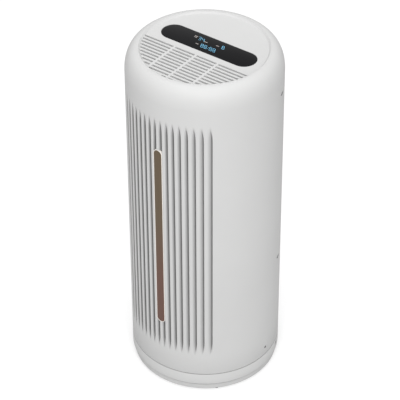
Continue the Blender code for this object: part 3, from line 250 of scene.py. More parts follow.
def moulded_group():
    """Moulded plastic: fine spark-eroded grain, faint flow clouds and a trace of handling."""
    tree, start, end = new_group(
        "moulded_surface",
        [("Vector", VECTOR, (0, 0, 0)), ("Colour", COLOUR, GREY), ("Grain", FLOAT, 2500.0),
         ("Cloud", FLOAT, 9.0), ("Tone", FLOAT, 0.03), ("Gloss", FLOAT, 0.45), ("Spread", FLOAT, 0.06)],
        [("Colour", COLOUR), ("Roughness", FLOAT), ("Height", FLOAT)])
    place = start.outputs["Vector"]
    grain = node(tree, "ShaderNodeTexNoise", {"Vector": place, "Scale": start.outputs["Grain"],
                                              "Detail": 2.0, "Roughness": 0.6})
    cloud = node(tree, "ShaderNodeTexNoise", {"Vector": place, "Scale": start.outputs["Cloud"],
                                              "Detail": 3.0, "Roughness": 0.5})
    shade = node(tree, "ShaderNodeHueSaturation", {"Color": start.outputs["Colour"]})
    dark = node(tree, "ShaderNodeMath", {0: 1.0, 1: start.outputs["Tone"]}, operation="SUBTRACT")
    tree.links.new(remap(tree, cloud.outputs["Fac"], 0.3, 0.7, dark.outputs[0], 1.0), shade.inputs["Value"])
    swing = node(tree, "ShaderNodeMath", {0: cloud.outputs["Fac"], 1: start.outputs["Spread"],
                                          2: start.outputs["Gloss"]}, operation="MULTIPLY_ADD")
    tree.links.new(shade.outputs["Color"], end.inputs["Colour"])
    tree.links.new(swing.outputs[0], end.inputs["Roughness"])
    tree.links.new(grain.outputs["Fac"], end.inputs["Height"])
    return tree


def brushed_group():
    """Brushed metal: long fine lines along one axis, set by how far the pattern is stretched."""
    tree, start, end = new_group(
        "brushed_lines",
        [("Vector", VECTOR, (0, 0, 0)), ("Colour", COLOUR, GREY), ("Stretch", VECTOR, (1, 1, 0.02)),
         ("Lines", FLOAT, 1800.0), ("Tone", FLOAT, 0.18), ("Gloss", FLOAT, 0.32)],
        [("Colour", COLOUR), ("Roughness", FLOAT), ("Height", FLOAT)])
    long = node(tree, "ShaderNodeVectorMath", {0: start.outputs["Vector"], 1: start.outputs["Stretch"]},
                operation="MULTIPLY")
    lines = node(tree, "ShaderNodeTexNoise", {"Vector": long.outputs[0], "Scale": start.outputs["Lines"],
                                              "Detail": 3.0, "Roughness": 0.7})
    shade = node(tree, "ShaderNodeHueSaturation", {"Color": start.outputs["Colour"]})
    dark = node(tree, "ShaderNodeMath", {0: 1.0, 1: start.outputs["Tone"]}, operation="SUBTRACT")
    tree.links.new(remap(tree, lines.outputs["Fac"], 0.3, 0.7, dark.outputs[0], 1.0), shade.inputs["Value"])
    swing = node(tree, "ShaderNodeMath", {0: lines.outputs["Fac"], 1: 0.16, 2: start.outputs["Gloss"]},
                 operation="MULTIPLY_ADD")
    tree.links.new(shade.outputs["Color"], end.inputs["Colour"])
    tree.links.new(swing.outputs[0], end.inputs["Roughness"])
    tree.links.new(lines.outputs["Fac"], end.inputs["Height"])
    return tree


def woven_group():
    """Woven mesh: two crossing sets of threads round an upright sleeve, with dark holes between."""
    tree, start, end = new_group(
        "woven_threads",
        [("Vector", VECTOR, (0, 0, 0)), ("Thread", COLOUR, GREY), ("Hole", COLOUR, GREY),
         ("Pitch", FLOAT, 900.0), ("Radius", FLOAT, 0.086)],
        [("Colour", COLOUR), ("Height", FLOAT)])
    parts = node(tree, "ShaderNodeSeparateXYZ", {"Vector": start.outputs["Vector"]})
    turn = node(tree, "ShaderNodeMath", {0: parts.outputs["X"], 1: parts.outputs["Y"]}, operation="ARCTAN2")
    around = node(tree, "ShaderNodeMath", {0: turn.outputs[0], 1: start.outputs["Radius"]},
                  operation="MULTIPLY")
    waves = []
    for way in (around.outputs[0], parts.outputs["Z"]):
        phase = node(tree, "ShaderNodeMath", {0: way, 1: start.outputs["Pitch"]}, operation="MULTIPLY")
        angle = node(tree, "ShaderNodeMath", {0: phase.outputs[0], 1: 2 * math.pi}, operation="MULTIPLY")
        wave = node(tree, "ShaderNodeMath", {0: angle.outputs[0]}, operation="COSINE")
        waves.append(wave.outputs[0])
    top = node(tree, "ShaderNodeMath", {0: waves[0], 1: waves[1]}, operation="MAXIMUM")
    height = remap(tree, top.outputs[0], -1.0, 1.0, 0.0, 1.0)
    share = remap(tree, top.outputs[0], -0.3, 0.5, 0.0, 1.0)
    colour = blend_colours(tree, share, start.outputs["Hole"], start.outputs["Thread"])
    tree.links.new(colour, end.inputs["Colour"])
    tree.links.new(height, end.inputs["Height"])
    return tree


def granule_group():
    """Packed granules, each with its own tone."""
    tree, start, end = new_group(
        "packed_granules",
        [("Vector", VECTOR, (0, 0, 0)), ("Colour", COLOUR, GREY), ("Dust", COLOUR, GREY),
         ("Size", FLOAT, 500.0)],
        [("Colour", COLOUR), ("Height", FLOAT)])
    cells = node(tree, "ShaderNodeTexVoronoi",
                 {"Vector": start.outputs["Vector"], "Scale": start.outputs["Size"]})
    tone = node(tree, "ShaderNodeRGBToBW", {"Color": cells.outputs["Color"]})
    tree.links.new(blend_colours(tree, tone.outputs["Val"], start.outputs["Colour"], start.outputs["Dust"]),
                   end.inputs["Colour"])
    tree.links.new(cells.outputs["Distance"], end.inputs["Height"])
    return tree


def recess_group():
    """Painted shade: darkens what lies below the outer skin of the upright tube, where deep grooves fall into
    shade.
    """
    tree, start, end = new_group(
        "recess_shade",
        [("Vector", VECTOR, (0, 0, 0)), ("Colour", COLOUR, GREY), ("Radius", FLOAT, 0.11),
         ("Depth", FLOAT, 0.005), ("Darkness", FLOAT, 0.5), ("Top", FLOAT, 0.49)],
        [("Colour", COLOUR)])
    parts = node(tree, "ShaderNodeSeparateXYZ", {"Vector": start.outputs["Vector"]})
    flat = node(tree, "ShaderNodeCombineXYZ", {"X": parts.outputs["X"], "Y": parts.outputs["Y"]})
    reach = node(tree, "ShaderNodeVectorMath", {0: flat.outputs["Vector"]}, operation="LENGTH")
    below = node(tree, "ShaderNodeMath", {0: start.outputs["Radius"], 1: reach.outputs["Value"]},
                 operation="SUBTRACT")
    share = node(tree, "ShaderNodeMath", {0: below.outputs[0], 1: start.outputs["Depth"]}, operation="DIVIDE")
    inside = node(tree, "ShaderNodeMath", {0: start.outputs["Top"], 1: parts.outputs["Z"]},
                  operation="GREATER_THAN")
    masked = node(tree, "ShaderNodeMath", {0: share.outputs[0], 1: inside.outputs[0]}, operation="MULTIPLY",
                  use_clamp=True)
    amount = node(tree, "ShaderNodeMath", {0: masked.outputs[0], 1: start.outputs["Darkness"]},
                  operation="MULTIPLY")
    shade = node(tree, "ShaderNodeHueSaturation", {"Color": start.outputs["Colour"]})
    tree.links.new(remap(tree, amount.outputs[0], 0.0, 1.0, 1.0, 0.0), shade.inputs["Value"])
    tree.links.new(shade.outputs["Color"], end.inputs["Colour"])
    return tree


GROUPS = {}
MAKERS = {"moulded": moulded_group, "recess": recess_group, "brushed": brushed_group, "woven": woven_group,
          "granule": granule_group}


def group(name):
    """The shader group of this name, made when it is first asked for."""
    if name not in GROUPS:
        GROUPS[name] = MAKERS[name]()
    return GROUPS[name]


def surface(name, effect, values, bump=0.1, bump_distance=0.0001, **shader_values):
    """A material whose colour, roughness and bump come from one of the shader groups."""
    finish = bpy.data.materials.new(name)
    finish.use_nodes = True
    tree = finish.node_tree
    shader = tree.nodes["Principled BSDF"]
    for socket, value in shader_values.items():
        shader.inputs[socket.replace("_", " ")].default_value = value
    place = node(tree, "ShaderNodeTexCoord")
    worked = node(tree, "ShaderNodeGroup", node_tree=group(effect))
    tree.links.new(place.outputs["Object"], worked.inputs["Vector"])
    for socket, value in values.items():
        if isinstance(value, bpy.types.NodeSocket):
            tree.links.new(value, worked.inputs[socket])
        else:
            worked.inputs[socket].default_value = value
    tree.links.new(worked.outputs["Colour"], shader.inputs["Base Color"])
    if "Roughness" in worked.outputs:
        tree.links.new(worked.outputs["Roughness"], shader.inputs["Roughness"])
    raised = node(tree, "ShaderNodeBump", {"Strength": bump, "Distance": bump_distance,
                                           "Height": worked.outputs["Height"]})
    tree.links.new(raised.outputs["Normal"], shader.inputs["Normal"])
    return finish


def rgb(colour):
    return (*colour, 1.0)


def first_node(finish, kind):
    """The first node of this kind in a material."""
    return next(n for n in finish.node_tree.nodes if n.type == kind)


def white_plastic(name, colour, gloss=0.42):
    return surface(name, "moulded", {"Colour": rgb(colour), "Grain": 2500.0, "Gloss": gloss, "Tone": 0.03},
                   bump=0.12, Specular_IOR_Level=0.2)


def recess_shade(finish, colour):
    """The node that paints shade onto a white plastic below the skin of the tube."""
    place = first_node(finish, "TEX_COORD")
    shade = node(finish.node_tree, "ShaderNodeGroup", {"Vector": place.outputs["Object"]},
                 node_tree=group("recess"))
    shade.inputs["Colour"].default_value = rgb(colour)
    shade.inputs["Radius"].default_value = BODY_R - SKIN
    return shade


def shell_plastic(colour):
    """The shells' white plastic with painted shade: darker down in the flutes and most of all in the holes at
    the sides.
    """
    finish = white_plastic(WHITE_NAME, colour)
    tree = finish.node_tree
    worked = first_node(finish, "GROUP")
    place = first_node(finish, "TEX_COORD")
    shade = recess_shade(finish, colour)
    parts = node(tree, "ShaderNodeSeparateXYZ", {"Vector": place.outputs["Object"]})
    width = node(tree, "ShaderNodeMath", {0: parts.outputs["X"]}, operation="ABSOLUTE")
    # near both sides the painted shade is strongest, in the holes there
    flank = remap(tree, width.outputs[0], BODY_R - 18 * MM, BODY_R - 14 * MM, 0.0, 1.0)
    # painted shade in the flutes, darker towards the left side, where less light falls
    across = remap(tree, parts.outputs["X"], -75 * MM, 60 * MM, 0.0, 1.0)
    flute_shade_depth = remap(tree, across, 0.0, 1.0, 2.2 * MM, 4.6 * MM)
    flute_shade_strength = remap(tree, across, 0.0, 1.0, 0.84, 0.50)
    depth = node(tree, "ShaderNodeMix", {0: flank, 2: flute_shade_depth, 3: 0.8 * MM}, data_type="FLOAT")
    dark = node(tree, "ShaderNodeMix", {0: flank, 2: flute_shade_strength, 3: 0.95}, data_type="FLOAT")
    tree.links.new(depth.outputs[0], shade.inputs["Depth"])
    tree.links.new(dark.outputs[0], shade.inputs["Darkness"])
    shade.inputs["Top"].default_value = BODY_H - 46 * MM
    tree.links.new(shade.outputs["Colour"], worked.inputs["Colour"])
    return finish


def base_plastic(colour):
    """The base's white plastic with painted shade in its notches and along its two seams."""
    finish = white_plastic("white_base", colour)
    tree = finish.node_tree
    worked = first_node(finish, "GROUP")
    place = first_node(finish, "TEX_COORD")
    shade = recess_shade(finish, colour)
    # painted shade in the notches and on the lower rounding
    shade.inputs["Depth"].default_value = 1.0 * MM
    shade.inputs["Darkness"].default_value = 0.85
    parts = node(tree, "ShaderNodeSeparateXYZ", {"Vector": place.outputs["Object"]})
    # painted shade in bands along the top seam and the bottom groove
    head = remap(tree, parts.outputs["Z"], BASE_SEAM_Z - 1.3 * MM, BASE_SEAM_Z - 0.4 * MM, 1.0, 0.62)
    foot = remap(tree, parts.outputs["Z"], BASE_Z - 0.8 * MM, BASE_Z + 2.2 * MM, 0.35, 1.0)
    seam = node(tree, "ShaderNodeMath", {0: head, 1: foot}, operation="MULTIPLY")
    seam_shaded = node(tree, "ShaderNodeHueSaturation",
                 {"Color": shade.outputs["Colour"], "Value": seam.outputs[0]})
    tree.links.new(seam_shaded.outputs["Color"], worked.inputs["Colour"])
    return finish


def dark_plastic(name, colour, gloss=0.45):
    return surface(name, "moulded", {"Colour": rgb(colour), "Grain": 1400.0, "Gloss": gloss, "Tone": 0.12},
                   bump=0.2)


def metal(name, colour, stretch, gloss):
    return surface(name, "brushed", {"Colour": rgb(colour), "Stretch": stretch, "Gloss": gloss},
                   bump=0.1, Metallic=1.0)


# ---- shaping ------------------------------------------------------------------------------
def profile_spin(points, steps, closed=True):
    """A ring or disc: (radius, height) points turned once round Z."""
    shape = bmesh.new()
    verts = [shape.verts.new((r, 0.0, z)) for r, z in points]
    pairs = list(zip(verts, verts[1:])) + ([(verts[-1], verts[0])] if closed else [])
    edges = [shape.edges.new(pair) for pair in pairs]
    bmesh.ops.spin(shape, geom=verts + edges, cent=(0, 0, 0), axis=(0, 0, 1), dvec=(0, 0, 0),
                   angle=2 * math.pi, steps=steps, use_merge=True, use_duplicate=False)
    bmesh.ops.remove_doubles(shape, verts=shape.verts, dist=0.001 * MM)
    bmesh.ops.recalc_face_normals(shape, faces=shape.faces)
    return shape


def arc(centre, radius, start_deg, end_deg, count):
    """Points on a circle in the profile plane."""
    return [(centre[0] + radius * math.cos(math.radians(start_deg + (end_deg - start_deg) * i / count)),
             centre[1] + radius * math.sin(math.radians(start_deg + (end_deg - start_deg) * i / count)))
            for i in range(count + 1)]


def bar(shape, low, high, radius=0.0, axis=2, segments=6):
    """A box, with the four edges along one axis rounded."""
    known = set(shape.verts)
    bmesh.ops.create_cube(shape, size=1.0)
    made = [v for v in shape.verts if v not in known]
    low, high = Vector(low), Vector(high)
    bmesh.ops.scale(shape, vec=high - low, verts=made)
    bmesh.ops.translate(shape, vec=(high + low) / 2, verts=made)
    if radius > 0:
        along = [e for e in shape.edges if e.verts[0] in made and e.verts[1] in made
                 and abs((e.verts[0].co - e.verts[1].co)[axis]) > 0.9 * (high - low)[axis]]
        bmesh.ops.bevel(shape, geom=along, offset=radius, offset_type="OFFSET", segments=segments,
                        affect="EDGES", profile=0.5, material=-1, clamp_overlap=True)
    return shape


def soften(shape, offset, segments=2, least_deg=50, keep=None):
    """Rounds the sharp edges, or those of them that keep() accepts."""
    bmesh.ops.remove_doubles(shape, verts=shape.verts, dist=0.002 * MM)
    edges = [e for e in shape.edges if e.is_manifold and e.calc_face_angle(0.0) > math.radians(least_deg)
             and (keep is None or keep(e))]
    bmesh.ops.bevel(shape, geom=edges, offset=offset, offset_type="OFFSET", segments=segments,
                    affect="EDGES", profile=0.5, material=-1, clamp_overlap=True)
    return shape


def as_object(name, shape):
    """An object made from a bmesh, which is freed."""
    mesh = bpy.data.meshes.new(name)
    shape.to_mesh(mesh)
    shape.free()
    made = bpy.data.objects.new(name, mesh)
    bpy.context.scene.collection.objects.link(made)
    return made


def settled(thing):
    """The object's mesh with its modifiers applied, as a bmesh; the object is removed."""
    bpy.context.view_layer.update()
    evaluated = thing.evaluated_get(bpy.context.evaluated_depsgraph_get())
    mesh = bpy.data.meshes.new_from_object(evaluated)
    shape = bmesh.new()
    shape.from_mesh(mesh)
    bpy.data.objects.remove(thing)
    bpy.data.meshes.remove(mesh)
    return shape


def carve(shape, cutter, operation="DIFFERENCE"):
    """Cuts one bmesh from another, or joins them."""
    thing = as_object("work", shape)
    other = as_object("cutter", cutter)
    step = thing.modifiers.new("carve", "BOOLEAN")
    step.operation = operation
    step.solver = "EXACT"
    step.object = other
    result = settled(thing)
    bpy.data.objects.remove(other)
    return result


def finish_piece(name, shape, finish, body, nodes=(), sharp_deg=32):
    """Makes a finished piece that rides on a body and replaces the nodes given."""
    piece = as_object(name, shape)
    piece.data.materials.clear()
    piece.data.materials.append(finish)
    piece.data.shade_smooth()
    piece.data.set_sharp_from_angle(angle=math.radians(sharp_deg))
    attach(piece, body)
    if nodes:
        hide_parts(*nodes)
    return piece


def smooth_step(share):
    """Eases a share from 0 to 1."""
    share = min(1.0, max(0.0, share))
    return share * share * (3 - 2 * share)


def shoulder_points(count):
    """Outside of the rounded shoulder, from the straight wall up to the rim."""
    points = []
    for i in range(1, count + 1):
        rise = math.sin(math.radians(90) * i / count)
        share = max(0.0, 1 - rise ** SHOULDER_POWER) ** (1 / SHOULDER_POWER)
        points.append((RIM_R + (BODY_R - RIM_R) * share, BODY_H - SHOULDER_FALL + SHOULDER_FALL * rise))
    return points


def wall_rows(heights, shoulder_count=26):
    """Rows of a shell as (radius, height): broken edge at the seam, wall, shoulder, rim and lip."""
    rows = [(BODY_R - EDGE, SHELL_Z), (BODY_R - 0.3 * EDGE, SHELL_Z + 0.3 * EDGE), (BODY_R, SHELL_Z + EDGE)]
    rows += [(BODY_R, z) for z in heights]
    rows += shoulder_points(shoulder_count)
    rows += [(LIP_R + 0.1 * MM, BODY_H), (LIP_R, BODY_H - 0.1 * MM), (LIP_R, LIP_Z)]
    return rows


def half_shell(azimuths, rows, side, shift=None):
    """Half of the tube from a grid: its columns go to the azimuths and its rows to the profile."""
    shape = bmesh.new()
    columns, levels = len(azimuths) - 1, len(rows) - 1
    bmesh.ops.create_grid(shape, x_segments=columns, y_segments=levels, size=1.0)
    for vert in shape.verts:
        azimuth = azimuths[round((vert.co.x + 1) / 2 * columns)]
        radius, z = rows[round((vert.co.y + 1) / 2 * levels)]
        x = radius * math.sin(azimuth)
        y = -radius * math.cos(azimuth) * side
        if side > 0:
            y = min(y, -PART_GAP)
        else:
            y = max(y, PART_GAP)
        vert.co = (x, y + (shift(x, z) if shift else 0.0), z)
    bmesh.ops.recalc_face_normals(shape, faces=shape.faces)
    outside = sum(f.normal.y * side for f in shape.faces) < 0
    if not outside:
        bmesh.ops.reverse_faces(shape, faces=shape.faces)
    return shape


def thicken(shape, wall):
    """Gives a skin a wall on its inner side."""
    thing = as_object("work", shape)
    step = thing.modifiers.new("wall", "SOLIDIFY")
    step.thickness = wall
    step.offset = -1.0
    step.use_even_offset = True
    return settled(thing)


def even(start, stop, count):
    """Evenly spaced values, with both ends."""
    return [start + (stop - start) * i / count for i in range(count + 1)]


# ---- pieces -------------------------------------------------------------------------------
WHITE_NAME = "white_moulding"


def white(settings):
    return bpy.data.materials.get("panel_white") or white_plastic("panel_white", settings.colour)


def shell_white(settings):
    return bpy.data.materials.get(WHITE_NAME) or shell_plastic(settings.colour)


class PURIFIER_OT_front_shell(bpy.types.Operator):
    """Front half shell with its flutes, the strip's pocket and the sensor's vent"""
    bl_idname = "purifier.front_shell"
    bl_label = "Front shell"

    def flute_depth_at(self, settings, x, z):
        """Depth of the fluted front at a place: a slit at each flute's middle, with curved flanks."""
        reach = (settings.flute_count - 1) / 2 * settings.flute_pitch
        nearest = round((x + reach) / settings.flute_pitch)
        nearest = min(settings.flute_count - 1, max(0, nearest))
        away = abs(x + reach - nearest * settings.flute_pitch)
        fade = smooth_step((z - settings.flute_low) / settings.run_out)
        fade *= smooth_step((settings.flute_high - z) / settings.run_out)
        slit, edge = settings.slit_width / 2, settings.flute_width / 2
        if away >= edge:
            return 0.0
        if away < slit - 0.02 * MM:
            return settings.slit_depth * fade
        share = (edge - away) / (edge - slit)
        return settings.flute_depth * fade * share ** 1.6

    def execute(self, context):
        settings = context.scene.purifier_shell
        places = []
        slit, edge = settings.slit_width / 2, settings.flute_width / 2
        flank = [slit + (edge - slit) * (1 - math.cos(math.radians(90) * share))
                 for share in even(0.0, 1.0, 7)]
        away = [0.0, slit * 0.5, slit - 0.04 * MM] + flank
        centres = [(i - (settings.flute_count - 1) / 2) * settings.flute_pitch
                   for i in range(settings.flute_count)]
        for centre in centres:
            places += [centre - step for step in away[:0:-1]] + [centre + step for step in away]
        places += [centre + settings.flute_pitch / 2 for centre in centres[:-1]]
        places.sort()
        outer = math.asin(places[-1] / BODY_R)
        side = even(outer, math.pi / 2, 44)[1:]
        azimuths = [-a for a in reversed(side)] + [math.asin(x / BODY_R) for x in places] + side
        low, high, run = settings.flute_low, settings.flute_high, settings.run_out
        heights = even(low, low + run, 14) + even(low + run, high - run, 8)[1:-1]
        heights += even(high - run, high, 14)
        heights += [BODY_H - SHOULDER_FALL]
        shape = half_shell(azimuths, wall_rows(heights), 1,
                           lambda x, z: self.flute_depth_at(settings, x, z))
        shape = thicken(shape, settings.wall)
        pocket = bmesh.new()
        gap = 0.25 * MM
        radius = (BEZEL_HIGH.x - BEZEL_LOW.x) / 2 + gap
        bar(pocket, (BEZEL_LOW.x - gap, BEZEL_LOW.y - 5 * MM, BEZEL_LOW.z - gap),
            (BEZEL_HIGH.x + gap, BEZEL_HIGH.y + gap, BEZEL_HIGH.z + gap), radius * FULL_ROUND, 1, 20)
        shape = carve(shape, pocket)
        shape = carve(shape, vent_hole())
        finish_piece("shell_front", shape, shell_white(settings), "body",
                     ["front_shell"], 42)
        return {"FINISHED"}


class PURIFIER_OT_rear_shell(bpy.types.Operator):
    """Rear half shell with its inlet slots, screw wells and the opening for the mains inlet"""
    bl_idname = "purifier.rear_shell"
    bl_label = "Rear shell"

    def execute(self, context):
        settings = context.scene.purifier_shell
        azimuths = even(-math.pi / 2, math.pi / 2, 168)
        heights = even(70 * MM, BODY_H - SHOULDER_FALL, 6)
        shape = thicken(half_shell(azimuths, wall_rows(heights), -1), settings.wall)
        slots = bmesh.new()
        half = INLET_SLOT_WIDTH / 2
        for row in range(2):
            top = INLET_TOP_Z - row * (INLET_SLOT_LENGTH + INLET_BRIDGE)
            for column in range(INLET_SLOT_COUNT):
                x = (column - (INLET_SLOT_COUNT - 1) / 2) * INLET_SLOT_PITCH
                bar(slots, (x - half, 60 * MM, top - INLET_SLOT_LENGTH), (x + half, BODY_R + 10 * MM, top),
                    INLET_SLOT_WIDTH * 0.499, 1, 5)
        shape = carve(shape, slots)
        openings = bmesh.new()
        bar(openings, (SOCKET_LOW.x - 0.3 * MM, 80 * MM, SOCKET_LOW.z - 0.3 * MM),
            (SOCKET_HIGH.x + 0.3 * MM, 130 * MM, SOCKET_HIGH.z + 0.3 * MM), 2.3 * MM, 1, 6)
        for x, z in screw_places():
            place = Matrix.Translation((x, SEAT_Y + BODY_R / 2, z))
            place = place @ Matrix.Rotation(math.radians(90), 4, "X")
            bmesh.ops.create_cone(openings, cap_ends=True, segments=32, radius1=WELL_R, radius2=WELL_R,
                                  depth=BODY_R, matrix=place)
        shape = carve(shape, openings)
        shape = carve(shape, vent_hole())
        wells = bmesh.new()
        for x, z in screw_places():
            self.add_copy(wells, self.well(x, z))
        self.add_copy(shape, wells)
        finish_piece("shell_rear", shape, shell_white(settings), "body", ["rear_shell"])
        return {"FINISHED"}

    def well(self, x, z):
        """Tube round a screw's well, trimmed just under the shell's outer skin."""
        outer, start = WELL_R + WELL_WALL, SEAT_Y - 1.5 * MM
        tube = profile_spin([(outer, 0.0), (outer, BODY_R), (WELL_R, BODY_R), (WELL_R, 1.5 * MM),
                             (1.4 * MM, 1.5 * MM), (1.4 * MM, 0.0)], 32)
        place = Matrix.Translation((x, start, z)) @ Matrix.Rotation(math.radians(-90), 4, "X")
        bmesh.ops.transform(tube, matrix=place, verts=tube.verts)
        skin = BODY_R - 0.3 * MM
        trim = profile_spin([(skin, z - 8 * MM), (2 * BODY_R, z - 8 * MM), (2 * BODY_R, z + 8 * MM),
                             (skin, z + 8 * MM)], 200)
        return carve(tube, trim)

    def add_copy(self, shape, other):
        """Adds another bmesh's faces to a shape; the other one is freed."""
        mesh = bpy.data.meshes.new("copy")
        other.to_mesh(mesh)
        other.free()
        shape.from_mesh(mesh)
        bpy.data.meshes.remove(mesh)


def vent_hole():
    """Cutter of the sensor's round hole, which lies on the shells' parting line."""
    low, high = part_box("air_sensor")
    shape = bmesh.new()
    place = Matrix.Translation((BODY_R, (low.y + high.y) / 2, low.z + SENSOR_DROP))
    bmesh.ops.create_cone(shape, cap_ends=True, segments=40, radius1=VENT_R, radius2=VENT_R, depth=20 * MM,
                          matrix=place @ Matrix.Rotation(math.radians(90), 4, "Y"))
    return shape


def screw_places():
    """Axes of the four rear screws, as (x, z)."""
    boxes = [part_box(f"rear_screw_{i}") for i in (1, 2, 3, 4)]
    return [((low.x + high.x) / 2, (low.z + high.z) / 2) for low, high in boxes]


class PURIFIER_OT_strip(bpy.types.Operator):
    """Upright accent strip and the cream bezel that frames it"""
    bl_idname = "purifier.strip"
    bl_label = "Accent strip"

    def execute(self, context):
        settings = context.scene.purifier_strip
        radius = (BEZEL_HIGH.x - BEZEL_LOW.x) / 2
        half_width = (STRIP_HIGH.x - STRIP_LOW.x) / 2
        bezel = bar(bmesh.new(), BEZEL_LOW, BEZEL_HIGH, radius * FULL_ROUND, 1, 20)
        inner = 0.12 * MM
        seat = bar(bmesh.new(), (STRIP_LOW.x - inner, BEZEL_LOW.y - 1 * MM, STRIP_LOW.z - inner),
                   (STRIP_HIGH.x + inner, STRIP_HIGH.y + inner, STRIP_HIGH.z + inner),
                   (half_width + inner) * FULL_ROUND, 1, 20)
        bezel = carve(bezel, seat)
        front = BEZEL_LOW.y + 0.1 * MM
        soften(bezel, 0.22 * MM, 2, keep=lambda e: all(v.co.y < front for v in e.verts))
        cream = white_plastic("cream_moulding", settings.bezel_colour, gloss=0.3)
        finish_piece("bezel", bezel, cream, "body", ["strip_bezel"])
        strip = bar(bmesh.new(), STRIP_LOW, STRIP_HIGH, half_width * FULL_ROUND, 1, 20)
        soften(strip, 0.2 * MM, 2)
        finish_piece("strip", strip, self.bronze(settings), "body", ["accent_strip"])
        return {"FINISHED"}

    def bronze(self, settings):
        finish = surface("bronze_brushed", "brushed", {"Lines": 1500.0, "Tone": 0.10, "Gloss": 0.34},
                         bump=0.08, Metallic=0.35, Specular_IOR_Level=0.4)
        tree = finish.node_tree
        worked = first_node(finish, "GROUP")
        place = first_node(finish, "TEX_COORD")
        parts = node(tree, "ShaderNodeSeparateXYZ", {"Vector": place.outputs["Object"]})
        share = remap(tree, parts.outputs["Z"], STRIP_LOW.z + 80 * MM, STRIP_LOW.z + 190 * MM, 0.0, 1.0)
        colour = blend_colours(tree, share, rgb(settings.foot_colour), rgb(settings.top_colour))
        tree.links.new(colour, worked.inputs["Colour"])
        return finish


class PURIFIER_OT_top_panel(bpy.types.Operator):
    """Top panel with its sloped edge, outlet slots and the display's pocket"""
    bl_idname = "purifier.top_panel"
    bl_label = "Top panel"

    def slots(self, settings):
        """Cutter of the outlet slots, broken by the cross ribs."""
        shape = bmesh.new()
        reach = PANEL_R - 1.4 * MM
        ribs = [-settings.rib_pitch, 0.0, settings.rib_pitch]
        for row in range(settings.rows):
            y = -settings.first_row - row * settings.pitch
            half = math.sqrt(reach ** 2 - (abs(y) + settings.slot_width / 2) ** 2)
            edges = [-half] + [x for x in ribs if abs(x) < half - 2 * settings.rib] + [half]
            for left, right in zip(edges, edges[1:]):
                left += settings.rib / 2 if left in ribs else 0.0
                right -= settings.rib / 2 if right in ribs else 0.0
                bar(shape, (left, y - settings.slot_width / 2, FLAT_Z - 20 * MM),
                    (right, y + settings.slot_width / 2, FLAT_Z + 20 * MM), 0.9 * MM, 2, 4)
        return shape

    def execute(self, context):
        settings = context.scene.purifier_panel
        flat_r = PANEL_R - 2.6 * MM
        top = BODY_H - 0.1 * MM
        under = FLAT_Z - 4 * MM
        flange_r = PANEL_HIGH.x
        points = [(0.0, FLAT_Z), (flat_r - 0.5 * MM, FLAT_Z), (flat_r, FLAT_Z + 0.12 * MM),
                  (flat_r + 0.3 * MM, FLAT_Z + 0.4 * MM), (PANEL_R - 0.7 * MM, top - 0.35 * MM),
                  (PANEL_R - 0.45 * MM, top - 0.08 * MM), (PANEL_R - 0.1 * MM, top),
                  (PANEL_R, top - 0.1 * MM), (PANEL_R, LIP_Z - 0.3 * MM), (flange_r, LIP_Z - 0.3 * MM),
                  (flange_r, PANEL_LOW.z), (flat_r, PANEL_LOW.z), (flat_r - 1 * MM, under), (0.0, under)]
        shape = profile_spin(points, 160, closed=False)
        shape = carve(shape, self.slots(settings))
        gap = 0.3 * MM
        radius = (LENS_HIGH.y - LENS_LOW.y) / 2
        pocket = bar(bmesh.new(), (LENS_LOW.x - gap, LENS_LOW.y - gap, LENS_LOW.z - gap),
                     (LENS_HIGH.x + gap, LENS_HIGH.y + gap, FLAT_Z + 20 * MM),
                     (radius + gap) * FULL_ROUND, 2, 24)
        shape = carve(shape, pocket)
        ledge = 2.5 * MM
        window = bar(bmesh.new(), (LENS_LOW.x + ledge, LENS_LOW.y + ledge, under - 5 * MM),
                     (LENS_HIGH.x - ledge, LENS_HIGH.y - ledge, FLAT_Z + 1 * MM),
                     (radius - ledge) * FULL_ROUND, 2, 24)
        shape = carve(shape, window)
        finish_piece("panel_top", shape, white(context.scene.purifier_shell), "body",
                     ["top_panel"])
        return {"FINISHED"}


# each segment's direction and where its middle lies, in half widths and half heights of a digit
SEGMENTS = {"a": ("across", 0.0, 1.0), "b": ("up", 1.0, 0.5), "c": ("up", 1.0, -0.5),
            "d": ("across", 0.0, -1.0), "e": ("up", -1.0, -0.5), "f": ("up", -1.0, 0.5),
            "g": ("across", 0.0, 0.0)}
LIT = {"3": "abcdg", "4": "bcfg", "8": "abcdefg"}


